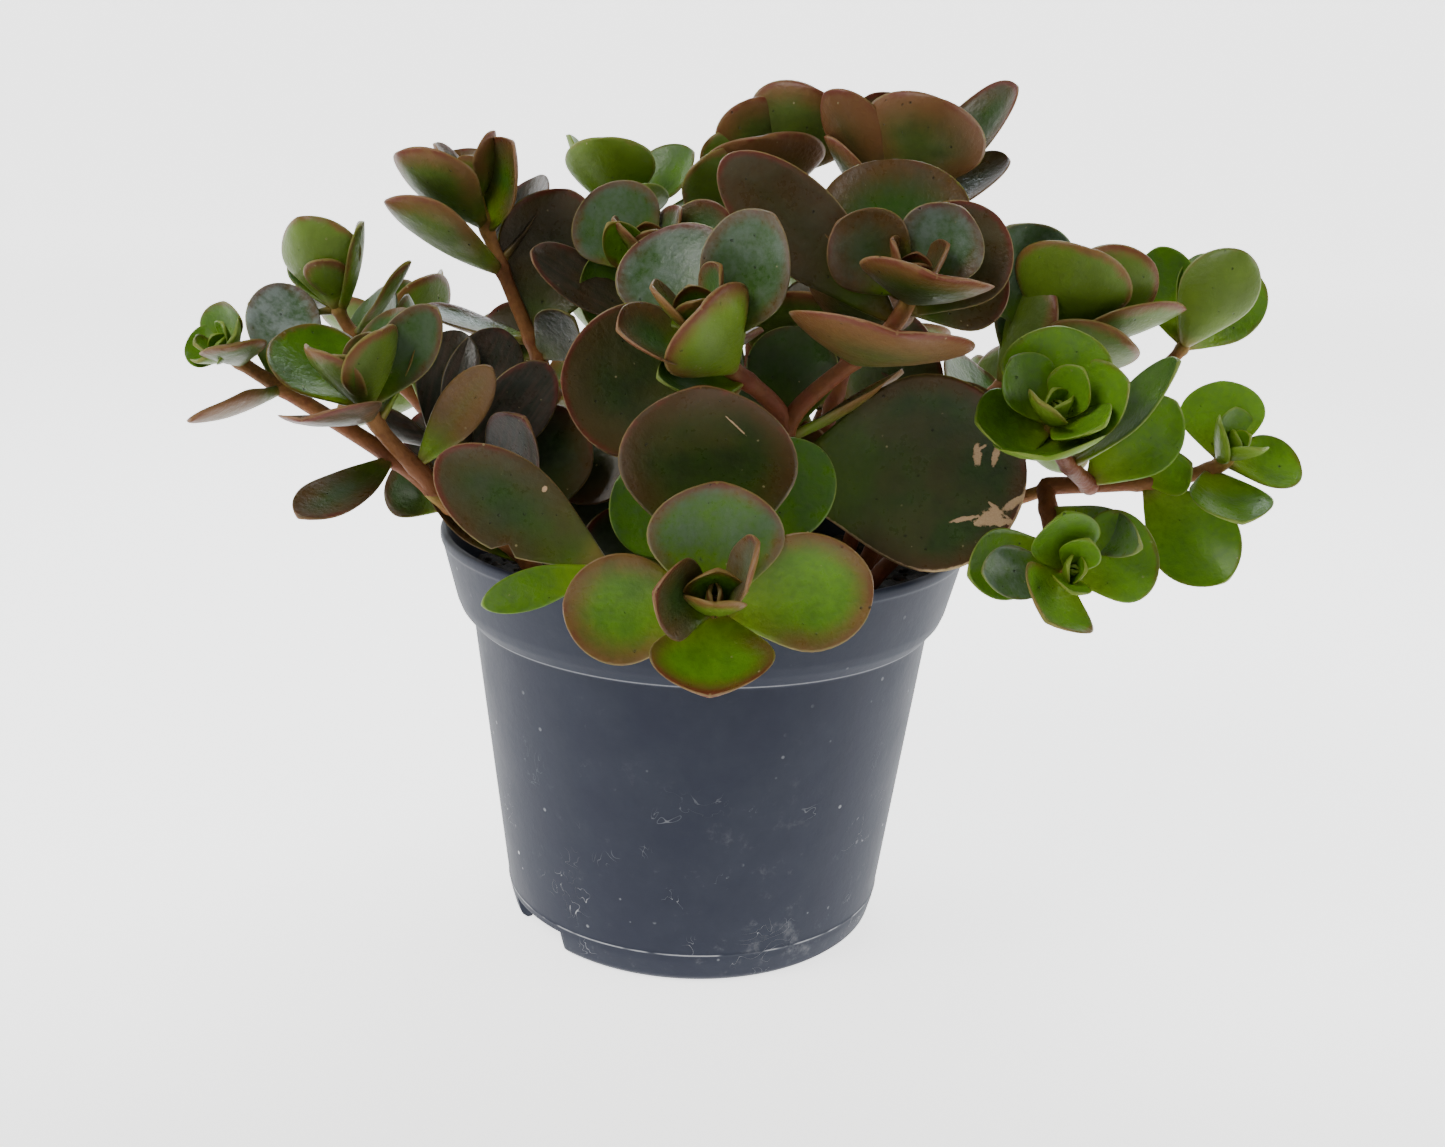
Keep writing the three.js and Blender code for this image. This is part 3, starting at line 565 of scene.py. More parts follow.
leafPlan = dict(
    width=0.82, petiole=0.22, widest=0.6, shoulder=1.5, thickness=1.7, taper=0.45, longest=(15, 30),
    curl=44, uncurl=0.3, cup=0.4, uncup=0.14, rows=22, columns=20, ripple=0.3, sway=0.03, groove=0.22,
    buds=((0.62, 15, 90, 0.99), (0.4, 7, 0, 0.995), (0.22, 4, 90, 0.999)),  # size, opening, turn, place
    # below: bud width, drift, ageing, the default share of painted sheen on the upper face, and the seed
    budWidth=0.95, drift=0.07, ageing=0.22, paintedSheen=0.1, seed=5,
)
stemPlan = dict(radius=1.9, tipRadius=1.2, slim=0.97, knot=0.32, knotLength=1.3, rowLength=0.9, columns=14)


# One row for each stem. aim = (azimuth, elevation) at its tip, run = how far it goes (straight up from its
# root, straight into its tip), roll = turn of its pairs, look = (tone, bronze),
# pairs = (place, length, opening), leaves = (place, turn, length, opening, width, twist),
# looks = {leaf: (tone, bronze, painted sheen)} and bud = the length that the leaves of its heart are shares
# of.
shoots = [
    dict(node="shoot_front", root=(3, -24), tip=(2, -62, 84), aim=(-88, 46), run=(38, 7), roll=90,
        look=(0.25, 0.45), bud=18,
        leaves=[(0.96, 0, 22, 70, 1.02), (0.96, 180, 17.5, 53, 1.16), (0.91, 74, 27, 84, 0.78),
            (0.91, 270, 25, 84, 0.78), (0.6, 355, 34, 88, 0.88), (0.5, 42, 26, 98, 0.7, -10),
            (0.5, 303, 22, 92, 0.78, 16), (0.985, 265, 16, 38, 0.85, -20), (0.985, 48, 19, 27, 0.5, -38)],
        looks={0: (0.3, 0.35, 0.45), 1: (0.15, 0.45, 0), 2: (0.18, 0.5, 0), 3: (0.22, 0.55, 0),
            4: (0.85, 0.62, 0), 5: (0.35, 0), 6: (0.35, 0), 7: (0.55, 0.6, 0.1), 8: (0.4, 0.8, 0.4)}),
    dict(node="shoot_centre", root=(16, -20), tip=(14, -30, 108), aim=(-90, 70), run=(20, 10),
        look=(0.9, 0.3),
        leaves=[(0.67, 93, 44, 86, 0.82, 62), (0.45, 300, 24, 70), (0.96, 7, 21, 50, 0.8, 4),
            (0.9, 311, 22, 85, 0.8, -47), (0.95, 60, 26, 75, 0.42, -40)],
        looks={0: (0.78, 0.5, 0), 1: (0.85, 0.3), 2: (0.6, 0.15), 3: (0.6, 0.5), 4: (0.3, 0.5)}),
    dict(node="shoot_centre", root=(14, -30, 107), tip=(-2, -40, 127), aim=(-110, 60), run=(8, 9), roll=55,
        look=(0.4, 0.45), pairs=[(0.98, 13, 28)],
        leaves=[(0.94, 325, 22, 62, 0.95), (0.62, 106, 23, 34, 0.84, -18), (0.84, 52, 26, 58, 0.66, 40),
            (0.84, 221, 18, 36, 0.85, -20), (0.5, 186, 20, 30, 0.5, -55), (0.5, 245, 33, 42, 0.84, -60)],
        looks={0: (0.5, 0.35, 0.8), 1: (0.03, 0.45, 0), 2: (0.6, 0.35, 0.6), 3: (0.45, 0.6),
            4: (0.4, 0.05, 0.1), 5: (0.8, 0.7, 0)}),
    dict(node="shoot_centre", root=(14, -30, 107), tip=(34, -36, 134.5), aim=(-90, 64), run=(8, 12), roll=90,
        look=(0.65, 0.75), pairs=[(0.985, 11, 26)],
        leaves=[(0.92, 338, 27, 57, 1, -20), (0.95, 184, 23, 50, 0.98), (0.97, 50, 17, 32, 0.9, 30),
            (0.97, 285, 18, 55, 0.85, -55), (0.88, 60, 21, 62, 0.8, 40), (0.56, 198, 32, 66, 0.98, 40),
            (0.8, 285, 41, 81, 0.38, -75), (0.85, 40, 24, 32, 0.8, 19)],
        looks={0: (0.6, 0.65, 0.1), 1: (0.5, 0.6), 2: (0.5, 0.4, 0.9), 3: (0.55, 0.7, 0.2), 5: (0.7, 1),
            6: (0.8, 1), 7: (0.8, 0.8)}),
    dict(node="shoot_right", root=(28, -14), tip=(66, -19, 97), aim=(-20, 30), run=(16, 14), roll=40,
        look=(0.2, 0.1)),
    dict(node="shoot_right", root=(72.2, -20.6, 97), tip=(59, -43, 114), aim=(-88, 54), run=(1, 9), roll=50,
        look=(0.08, 0.05), pairs=[(0.98, 11, 30), (0.95, 14, 48)],
        leaves=[(0.84, 184, 17, 42, 1.1), (0.9, 262, 15, 60, 0.95), (0.9, 80, 16, 56, 0.95),
            (0.9, 12, 18, 54, 1.05), (0.5, 64, 29, 64, 0.36, -25), (0.17, 67, 24, 65, 0.63, 30)]),
    dict(node="shoot_right", root=(64, -19, 96.5), tip=(95, -28, 106), aim=(-75, 58), run=(1, 10),
        look=(0, 0.05), pairs=[(0.985, 9, 36)],
        leaves=[(0.92, 345, 15, 58, 1, -60), (0.93, 100, 15, 66, 0.9), (0.83, 200, 16, 72, 1, 45),
            (0.92, 280, 11, 50), (0.56, 190, 24, 56, 0.68, 90), (0.55, 285, 12, 80, 0.8, -150)]),
    dict(node="shoot_right", root=(64, -19.3, 95.8), tip=(64, -44, 87), aim=(-84, 34), run=(1, 8), roll=20,
        look=(0.12, 0.1), pairs=[(0.98, 9, 34)],
        leaves=[(0.88, 70, 17, 88, 1, -18), (0.9, 222, 14, 38, 1.2), (0.9, 274, 17, 71, 0.6, 30),
            (0.3, 37, 28, 40, 0.3, -75), (0.9, 345, 15, 56), (0.6, 276, 21, 74, 0.62, 50)],
        looks={2: (0.4, 0.1, 0.8), 3: (0.2, 0.1, 0.8)}),
    dict(node="shoot_dark", root=(-20, -10), tip=(-51, -21, 102), aim=(165, 50), run=(10, 12), roll=30,
        look=(1.5, 0.5),
        leaves=[(0.985, 305, 24, 52, 0.5, 75), (0.9, 308, 29, 75, 0.5, 78), (0.78, 337, 25.5, 85, 0.5, 78),
            (0.97, 120, 16, 40, 0.6), (0.7, 250, 22, 70, 0.6), (0.64, 20, 24, 60, 0.6, 60),
            (0.5, 330, 24, 60, 0.7, 60)],
        looks={6: (0.8, 0.6)}),
    dict(node="shoot_left", root=(-24, -24), tip=(-50, -31, 94.5), aim=(170, 40), run=(12, 12), roll=30,
        look=(0.7, 0.6),
        leaves=[(0.45, 223, 26, 50, 0.45, 20), (0.88, 237, 15, 38, 0.8, -12)],
        looks={1: (0.6, 0.3)}),
    dict(node="shoot_left", root=(-49, -31, 94), tip=(-60, -35, 112), aim=(-100, 76), run=(4, 8), roll=10,
        look=(0.4, 0.25), pairs=[(0.98, 12, 26)],
        leaves=[(0.93, 290, 21, 52, 0.9), (0.92, 64, 22, 48, 0.48, 60), (0.95, 215, 16, 30, 0.9),
            (0.95, 110, 17, 28, 0.9), (0.86, 190, 18, 62, 1.1), (0.78, 20, 22, 62),
            (0.35, 75, 24, 77, 0.36, 75)],
        looks={0: (0.3, 0.2, 0), 1: (0.6, 0.3, 0.3), 4: (1.2, 0.6), 6: (0.4, 0.8)}),
    dict(node="shoot_left", root=(-49, -31, 94), tip=(-86.4, -27.5, 118.2), aim=(-102, 36), run=(4, 9),
        roll=45, look=(0.12, 0.05), pairs=[(0.985, 7, 26)],
        leaves=[(0.7, 17, 25, 61, 0.56, 90), (0.7, 187, 21, 70, 0.5, -20), (0.95, 98, 9, 52, 1.1),
            (0.94, 186, 7.5, 44, 1.2), (0.3, 207, 24, 83, 0.44, -75), (0.95, 8, 9.5, 50, 1.2),
            (0.95, 266, 8, 50, 1.2), (0.88, 122, 13, 78, 0.9, -45)],
        looks={0: (0.5, 0.3, 2), 1: (0.7, 0.8, 0), 4: (0.75, 0.55, 0.2), 7: (0.6, 0.3, 0)}),
    dict(node="shoot_left_top", root=(-26, -4), tip=(-71.5, -6, 125.5), aim=(-90, 80), run=(20, 14), roll=0,
        look=(0.35, 0.2), pairs=[(0.985, 11, 30)],
        leaves=[(0.95, 282, 20, 52, 0.66), (0.95, 200, 19, 30, 0.94), (0.94, 80, 18, 36, 0.76),
            (0.94, 350, 18, 40), (0.84, 96, 19, 74, 0.66), (0.84, 262, 17, 66), (0.74, 10, 20, 60),
            (0.74, 190, 20, 66), (0.6, 90, 22, 66)],
        looks={0: (0.7, 0.8), 5: (0.6, 0.3)}),
    dict(node="shoot_upper_left", root=(-18, 0), tip=(-45.5, 0, 145.5), aim=(170, 78), run=(20, 18), roll=0,
        look=(0.45, 0.5), pairs=[(0.985, 13, 28)],
        leaves=[(0.9, 125, 22, 38, 0.9), (0.88, 20, 19, 42, 0.85, 60), (0.92, 240, 18, 40),
            (0.78, 140, 26, 40, 0.86), (0.62, 346, 30, 38, 0.74, 80), (0.8, 300, 22, 56, 0.7),
            (0.62, 194, 24, 57, 0.4), (0.58, 223, 17, 53, 0.75, -38), (0.5, 58, 25, 126, 0.78, 19),
            (0.45, 105, 21, 87, 0.65, -78), (0.58, 35, 16, 67, 0.7, 100)],
        looks={4: (0.8, 1), 5: (1.4, 0.7), 6: (0.5, 0.4, 0), 7: (0.8, 0.9), 8: (0.7, 0.8), 10: (1.2, 0.2)}),
    dict(node="shoot_inner_left", root=(-6, -8), tip=(-12, -8, 135), aim=(-100, 70), run=(20, 14), roll=60,
        look=(0.5, 0.45), pairs=[(0.985, 12, 34)],
        leaves=[(0.94, 295, 19, 50, 0.95, -50), (0.94, 80, 19, 60, 0.8, 50), (0.93, 262, 12, 36, 0.6, -60),
            (0.86, 350, 21, 60), (0.76, 262, 27.5, 70, 0.42, -50), (0.76, 120, 20, 66),
            (0.64, 258, 25, 52, 0.6, -82), (0.9, 220, 16, 34, 0.5, -112), (0.62, 80, 22, 70),
            (0.5, 330, 22, 76), (0.38, 120, 22, 70), (0.3, 255, 23, 68, 0.8, -85),
            (0.2, 240, 19, 64, 0.8, -85)],
        looks={0: (0.45, 0.3, 0.5), 2: (0.1, 0.3), 4: (1.3, 0.9), 6: (0.35, 0.1), 7: (0.05, 0.2, 0),
            10: (0.8, 0.4), 11: (0.8, 0.4), 12: (0.8, 0.4)}),
    dict(node="shoot_top_left", root=(-10, 14), tip=(-20, 28, 143), aim=(-90, 82), run=(30, 14),
        look=(0.2, 0.1), pairs=[(0.985, 14, 28)],
        leaves=[(0.95, 272, 19, 32, 0.62), (0.95, 190, 20, 38, 0.94), (0.95, 88, 20, 52, 0.7, 40),
            (0.94, 0, 20, 44), (0.86, 165, 20, 66), (0.84, 270, 20, 66), (0.84, 80, 21, 66),
            (0.7, 180, 24, 70), (0.7, 0, 22, 66)],
        looks={1: (0.2, 0.1, 0.5)}),
    dict(node="shoot_top", root=(6, 16), tip=(12, 28, 151), aim=(-90, 84), run=(30, 14), look=(0.5, 0.55),
        pairs=[(0.985, 14, 28)],
        leaves=[(0.95, 223, 19, 37, 0.9, 45), (0.95, 150, 23, 36, 0.95, -39), (0.94, 0, 22, 44),
            (0.86, 192, 22, 58, 1.1, 15), (0.9, 250, 18, 61, 0.75, 60), (0.8, 228, 24, 71, 0.75, 50),
            (0.76, 120, 24, 66), (0.66, 180, 26, 70), (0.66, 0, 24, 66), (0.5, 150, 26, 66),
            (0.5, 51, 28, 76, 0.9, 75), (0.4, 300, 26, 66, 0.9, -60), (0.4, 67, 28, 53, 0.9, 70)],
        looks={3: (0.7, 0.95), 4: (0.45, 0.2), 5: (0.45, 0.2)}),
    dict(node="shoot_top_right", root=(18, 4), tip=(36, 9, 149.5), aim=(-90, 84), run=(30, 16),
        look=(0.6, 0.6), pairs=[(0.985, 14, 28)],
        leaves=[(0.96, 266, 25, 54, 0.6, 40), (0.95, 168, 24, 32, 1, -24), (0.95, 88, 31, 39, 0.48, 30),
            (0.97, 300, 20, 27, 0.8, -60), (0.88, 92, 25, 50, 0.56, 30), (0.86, 276, 22, 62),
            (0.76, 20, 24, 66), (0.66, 96, 26, 66), (0.56, 190, 26, 64), (0.56, 10, 24, 70),
            (0.45, 53, 28, 65, 0.9, 65), (0.42, 315, 28, 64, 0.9, -65), (0.32, 60, 26, 56, 0.9, 65),
            (0.3, 220, 24, 60)],
        looks={0: (0.85, 0.85), 1: (0.75, 0.7)}),
    dict(node="shoot_right_upper", root=(30, 2), tip=(67, 2, 124), aim=(0, 62), run=(18, 14), look=(0.4, 0.3),
        pairs=[(0.985, 15, 22)],
        leaves=[(0.95, 298, 24, 44, 0.95, 23), (0.92, 250, 27, 24, 0.7, -10), (0.9, 205, 29, 36, 0.7),
            (0.95, 5, 25, 60, 0.8, -95), (0.78, 10, 20, 68, 0.5, -60), (0.84, 240, 24, 50),
            (0.84, 60, 22, 54), (0.74, 340, 24, 56), (0.7, 190, 22, 66), (0.6, 270, 24, 70),
            (0.6, 90, 24, 66)],
        looks={3: (0.5, 0.15, 0.6), 4: (0.5, 0.2, 0.9)}),
    dict(node="shoot_far_right", root=(32, 10), tip=(94.5, 4, 123), aim=(10, 76), run=(18, 16), roll=40,
        look=(0.25, 0.12), pairs=[(0.985, 14, 20)],
        leaves=[(0.95, 307, 22.5, 30, 0.66, 20), (0.95, 2, 20.5, 48, 0.6, -105), (0.94, 141, 23, 27, 0.6, 50),
            (0.95, 80, 20, 24, 0.8)],
        looks={0: (0.4, 0.1, 0)}),
    dict(node="shoot_low_left", root=(-14, -32), tip=(-17, -47, 87), aim=(-120, 50), run=(6, 5), roll=60,
        look=(0.6, 0.6),
        leaves=[(0.9, 275, 35, 57, 0.47, -20), (0.9, 214, 25, 76, 0.28, -40)],
        looks={0: (0.7, 0.6), 1: (0.15, 0)}),
    dict(node="shoot_back_left", root=(-24, 14), tip=(-66, 34, 112), aim=(150, 70), run=(14, 14), roll=20,
        look=(0.35, 0.25), pairs=[(0.985, 14.08, 30), (0.955, 20.68, 48), (0.9, 22, 66), (0.76, 24, 74),
        (0.5, 24, 74)]),
    dict(node="shoot_back", root=(-8, 30), tip=(-16, 66, 108), aim=(100, 52), run=(14, 14), roll=10,
        look=(0.4, 0.3), pairs=[(0.985, 15.36, 30), (0.955, 22.56, 48), (0.9, 24, 66), (0.76, 24, 74),
        (0.5, 24, 74)]),
    dict(node="shoot_back_right", root=(16, 28), tip=(34, 58, 116), aim=(60, 66), run=(18, 14), roll=50,
        look=(0.4, 0.35), pairs=[(0.985, 15.36, 30), (0.955, 22.56, 48), (0.9, 24, 66), (0.76, 24, 74),
        (0.5, 24, 74)]),
    dict(node="shoot_low_back", root=(-22, 26), tip=(-44, 56, 92), aim=(125, 40), run=(28, 12), roll=40,
        look=(0.45, 0.2), pairs=[(0.985, 12.8, 33), (0.955, 18.8, 52.8), (0.9, 20, 72.6), (0.72, 22, 74)]),
    dict(node="shoot_low_back_right", root=(30, 22), tip=(70, 46, 98), aim=(35, 46), run=(34, 12), roll=70,
        look=(0.4, 0.2), pairs=[(0.985, 13.44, 33), (0.955, 19.74, 52.8), (0.9, 21, 72.6), (0.72, 22, 74)]),
]


def stemCurve(shoot):
    # A cubic Bezier curve that leaves its root straight up and runs straight on into its tip.
    azimuth, elevation = np.radians(shoot["aim"])
    ahead = np.array([*heading(azimuth), 0])
    x, y, *fork = shoot["root"]
    start = np.array([x, y, fork[0] if fork else compostPlan["top"] - compostPlan["sunk"]], float)
    rise, reach = shoot["run"]
    rise = rise if fork else rise + compostPlan["sunk"]
    end = np.array(shoot["tip"], float)
    grow = ahead * np.cos(elevation) + up * np.sin(elevation)
    return np.array([start, start + up * rise, end - grow * reach, end]), np.cross(up, ahead)


def stemFrame(curve, t):
    # point, tangent, and the two directions square to it, at places t from 0 to 1
    (a, b, c, d), side = curve
    t = np.asarray(t, float)[..., None]
    point = (1 - t) ** 3 * a + 3 * (1 - t) ** 2 * t * b + 3 * (1 - t) * t**2 * c + t**3 * d
    along = unit((1 - t) ** 2 * (b - a) + 2 * (1 - t) * t * (c - b) + t**2 * (d - c))
    across = unit(side - along * (along @ side)[..., None])
    return point, along, across, np.cross(along, across)


def turnedAbout(vector, axis, angle):
    # v cos a + (axis x v) sin a + axis (axis . v)(1 - cos a)
    return (vector * np.cos(angle) + np.cross(axis, vector) * np.sin(angle)
            + axis * (axis @ vector) * (1 - np.cos(angle)))


def widthAt(s):
    # half the width as a share of its greatest: a narrow base that widens, and a round end
    p = leafPlan
    end = np.sqrt(np.clip(1 - ((s - p["widest"]) / (1 - p["widest"])) ** 2, 0, 1))
    swell = np.sin(np.pi / 2 * np.clip(s / p["widest"], 0, 1)) ** p["shoulder"]
    start = p["petiole"] + (1 - p["petiole"]) * swell
    return np.where(s > p["widest"], end, start)


def thicknessAt(s, length):
    # thinner towards the tip, and in short leaves
    return leafPlan["thickness"] * (1 - leafPlan["taper"] * s) * min(1, 0.6 + length / 60)


def bladePoints(spot, leaf, s, v, lift, slide=0):
    # The blade is an arc: it leaves the stem at more than its opening and curls back, and its edges rise as
    # a cup of v squared. s runs from base to tip, v from edge to edge, lift is millimetres off the middle
    # surface and slide millimetres sideways.
    p = leafPlan
    point, along, across, top = spot
    turn, opening, twist = (np.radians(leaf[k]) for k in ("turn", "opening", "twist"))
    out = top * np.cos(turn) + across * np.sin(turn)
    line = along * np.cos(opening) + out * np.sin(opening)
    inner, away = turnedAbout(along, line, twist), turnedAbout(out, line, twist)
    sideways = np.cross(inner, away)
    curl, cup = np.radians(p["curl"]) - p["uncurl"] * opening, p["cup"] - p["uncup"] * opening
    start, length = opening + curl / 2, leaf["length"]
    angle = start - curl * s
    wide = length * leaf["width"] / 2 * widthAt(s)
    inward = cup * wide * v * v + lift
    rising = length * (np.sin(start) - np.sin(angle)) / curl + inward * np.sin(angle)
    leaving = length * (np.cos(angle) - np.cos(start)) / curl - inward * np.cos(angle)
    return (point + inner * rising[..., None] + away * leaving[..., None]
            + sideways * (v * wide + slide)[..., None])


# Leaves with marks of their own, by node, place and turn. Number 3 also has a nick in one edge.
leafScars = {("shoot_centre", 0.67, 93): 1, ("shoot_front", 0.6, 355): 2, ("shoot_low_left", 0.9, 275): 3}
nickPlan = dict(number=3, along=16.4, half=0.8, depth=0.3)

# The ways that a leaf gives way in the solids, in the order in which they are tried.
givePlan = dict(scales=(1, 0.82, 0.66), swings=(0, 12, -12, 24, -24), leans=(0, -9, 9, -18, 18, -27, 27, -36))
moves = sorted(((swing, lean) for swing in givePlan["swings"] for lean in givePlan["leans"]),
               key=lambda move: abs(move[0]) + abs(move[1]))
gives = [(scale, *move) for scale in givePlan["scales"] for move in moves]


def asGrown(spot, leaf, corners):
    # The leaf as it stands in the solids, where a leaf gives way to its neighbours: the first way whose
    # outer corners lie on corners of the solid. None means that it found no room there.
    for scale, swing, lean in gives:
        tried = {**leaf, "turn": leaf["turn"] + swing, "length": leaf["length"] * scale,
                 "opening": max(4, leaf["opening"] + lean)}
        rings = 3 + sum(tried["length"] > longest for longest in leafPlan["longest"])
        s = np.sin(np.pi / 2 * np.arange(rings - 2, rings + 1) / rings) ** 1.2
        s = np.repeat(s, 4)
        v, w = np.tile([-1, 0, 1, 0], 3), np.tile([0, 1, 0, -1], 3)
        found = bladePoints(spot, tried, s, v, w * thicknessAt(s, tried["length"]) / 2)
        gap = np.linalg.norm(found[:, None] - corners[None], axis=-1).min(1)
        if (gap < 0.05).sum() >= 5:
            return tried
    return None


def makeBlade(spot, leaf, draw):
    # A closed blade: rings of points round it, v = cos a, its faces at +-half the thickness times
    # |sin a| ^ 0.8, so that the rim is round. The edges ripple and the middle line sways a little.
    p, nick = leafPlan, nickPlan
    s = np.sin(np.pi / 2 * np.arange(1, p["rows"]) / p["rows"])[:, None] ** 1.2
    angle = around(p["columns"])[None]
    v, w = np.cos(angle), np.sign(np.sin(angle)) * np.abs(np.sin(angle)) ** 0.8
    s, v, w = np.broadcast_arrays(s, v, w)
    length, number = leaf["length"], leaf["number"]
    ripple, phase, sway, chance = draw.rand(4)
    thick = thicknessAt(s, length) * np.where(w < 0, 1 + 0.5 * (1 - s) ** 2 * (1 - v * v), 1) / 2
    wave = p["ripple"] * min(1, length / 22) * (0.4 + ripple) * v * v * np.sign(v)
    wave = wave * np.sin(2 * np.pi * (1.3 * s + phase)) * eased(s, 0.15, 0.6)
    groove = -p["groove"] * np.exp(-((v / 0.16) ** 2)) * eased(s, 0.75, 0.1) * (w > 0)
    tuck = 1 - 0.35 * eased(s, 0.14, 0)
    if number == nick["number"]:
        notch = np.exp(-(((s * length - nick["along"]) / nick["half"]) ** 2))
        tuck = tuck - (v > 0) * nick["depth"] * notch * np.abs(v) ** 3
    sway = p["sway"] * (sway - 0.5) * 2 * length
    rings = bladePoints(spot, leaf, s, v * tuck, w * thick + wave + groove, sway * s * s)
    ends = np.array([0.0, 1.0])
    base, tip = bladePoints(spot, leaf, ends, 0 * ends, 0 * ends, sway * ends)
    points, faces = closedSkin(rings, base, tip)

    # marks: the distance to the rim is measured on the blade laid flat
    half = length * leaf["width"] / 2
    flatX, flatY = (v * half * widthAt(s)).ravel(), (length * s).ravel()
    line = np.linspace(0, 1, 160) ** 0.5
    edge = np.stack([half * widthAt(line), length * line], -1)
    rim = np.linalg.norm(np.stack([np.abs(flatX), flatY], -1)[:, None] - edge[None], axis=-1).min(1)
    rim = np.where(np.abs(v.ravel()) > 0.999, 0, rim)
    margin = np.vstack([[1.0, 0, 0], np.column_stack([rim, s.ravel(), w.ravel()]), [0, 1, 0]])
    flat = np.column_stack([[0, *flatX, 0], [0, *flatY, length], np.full(len(points), number)])
    kind = np.tile([leaf["tone"], leaf["bronze"], chance], (len(points), 1))
    paintedSheen = np.tile([leaf["paintedSheen"], 0, 0], (len(points), 1))
    return points, faces, {"margin": margin, "kind": kind, "flat": flat, "paintedSheen": paintedSheen}


def makeStem(curve, places, draw):
    # A tube round the curve. Its radius falls evenly to the tip and swells where leaves stand.
    p = stemPlan
    length = np.linalg.norm(np.diff(stemFrame(curve, np.linspace(0, 1, 40))[0], axis=0), axis=1).sum()
    t = np.linspace(0, 1, int(max(16, length / p["rowLength"])))
    point, along, across, top = stemFrame(curve, t)
    knots = sum(np.exp(-(((t - place) * length / p["knotLength"]) ** 2))
                for place in sorted(set(places)) if place < 0.95)
    radius = (p["radius"] + (p["tipRadius"] - p["radius"]) * t) * p["slim"] + p["knot"] * np.minimum(1, knots)
    angle = around(p["columns"])[None, :, None]
    cos, sin = np.cos(angle), np.sin(angle)
    rings = point[:, None] + radius[:, None, None] * (across[:, None] * cos + top[:, None] * sin)
    points, faces = closedSkin(rings, point[0], point[-1] + along[-1] * 0.5)
    chance = draw.rand()
    shank = np.zeros((len(points), 3))
    shank[:, 0] = [0, *np.repeat(t, p["columns"]), 1]
    shank[:, 1] = chance
    return points, faces, {"shank": shank}


def grownLeaves(shoot, corners, draw):
    # The leaves of one stem as the solids have them, then its bud, and how many leaves have no room.
    p = leafPlan
    curve = stemCurve(shoot)
    tone, bronze = shoot["look"]
    looks, pairs, roll = shoot.get("looks", {}), shoot.get("pairs", []), shoot.get("roll", 0)
    paired = [(place, roll + 90 * k + half, length, opening)
              for k, (place, length, opening) in enumerate(pairs) for half in (0, 180)]
    grown, missing = [], 0
    for k, (place, turn, length, opening, *more) in enumerate([*shoot.get("leaves", []), *paired]):
        width, twist = (*more, *(p["width"], 0)[len(more):])
        ownTone, ownBronze, *paintedSheen = looks.get(k, (tone + p["ageing"] * (0.9 - place), bronze))
        drift = draw.randn(2) * (0 if k in looks else p["drift"])
        leaf = dict(turn=turn, length=length, opening=opening, width=width, twist=twist,
                    number=leafScars.get((shoot["node"], place, turn), 0), paintedSheen=paintedSheen[0] if paintedSheen else p["paintedSheen"],
                    tone=float(np.clip(ownTone + drift[0], 0, 2)),
                    bronze=float(np.clip(ownBronze + drift[1], 0, 1)))
        spot = stemFrame(curve, place)
        leaf = asGrown(spot, leaf, corners)
        if leaf is None:
            missing += 1
        else:
            grown.append(makeBlade(spot, leaf, draw))
    bud = shoot.get("bud", pairs[0][1] if pairs else 0)
    for size, opening, turn, place in p["buds"] if bud else ():
        for half in (0, 180):
            leaf = dict(turn=roll + turn + half + draw.randn() * 5, length=bud * size,
                        opening=opening + draw.randn() * 1.5, width=p["budWidth"], twist=0, number=0, paintedSheen=0,
                        tone=max(0, tone - 0.1), bronze=bronze * 0.7)
            grown.append(makeBlade(stemFrame(curve, place), leaf, draw))
    return grown, missing


def makeShoots():
    # One piece of leaves and one of stems for each node; every leaf is placed as the solids have it.
    leafSkin, stemSkin = leafFinish(), stemFinish()
    draw = np.random.RandomState(leafPlan["seed"])
    leaves, stems, missing = {}, {}, 0
    for shoot in shoots:
        node = shoot["node"]
        corners = np.empty(len(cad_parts[node].data.vertices) * 3, np.float32)
        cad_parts[node].data.vertices.foreach_get("co", corners)
        corners = (corners.reshape(-1, 3) - axisPlace) * 1000
        grown, without = grownLeaves(shoot, corners, draw)
        missing += without
        leaves.setdefault(node, []).extend(grown)
        places = [leaf[0] for leaf in [*shoot.get("leaves", []), *shoot.get("pairs", [])]]
        stems.setdefault(node, []).append(makeStem(stemCurve(shoot), places, draw))
    for node in leaves:
        for made, name, skin in ((leaves[node], "leaves", leafSkin), (stems[node], "stems", stemSkin)):
            points, faces, marks = joined(made)
            piece = addMesh(f"{node}_{name}", points, faces, skin, marks)
            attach(piece, "root")
            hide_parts(node)
    print("shoots:", len(leaves), "nodes,", sum(map(len, leaves.values())), "leaves,", missing,
          "without room")


pot = makePot()
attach(pot, "root")
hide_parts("pot")
print("pot:", len(pot.data.polygons), "faces")

for piece in makeCompost():
    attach(piece, "root")
    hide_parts("compost")
    print(piece.name + ":", len(piece.data.polygons), "faces")

makeShoots()

cameraPlan = dict(place=(0, -313.98, 165.50), ahead=(0.01230452, 0.95804639, -0.28634895),
                  up=(-0.03482149, 0.28660748, 0.95741507), lens=40.10, sensor=36)


def stood(name, data, place, above, back):
    # A new camera or light; the columns of its matrix are right, up and back.
    matrix = np.eye(4)
    matrix[:3, :3] = np.column_stack([np.cross(above, back), above, back])
    matrix[:3, 3] = placed(place)
    made = bpy.data.objects.new(name, data)
    bpy.context.scene.collection.objects.link(made)
    made.matrix_world = Matrix(matrix)
    return made


def makeCamera():
    c = cameraPlan
    data = bpy.data.cameras.new("camera")
    data.lens, data.sensor_width = c["lens"], c["sensor"]
    data.clip_start, data.clip_end = 0.01, 30
    bpy.context.scene.camera = stood("camera", data, c["place"], np.array(c["up"]), -np.array(c["ahead"]))


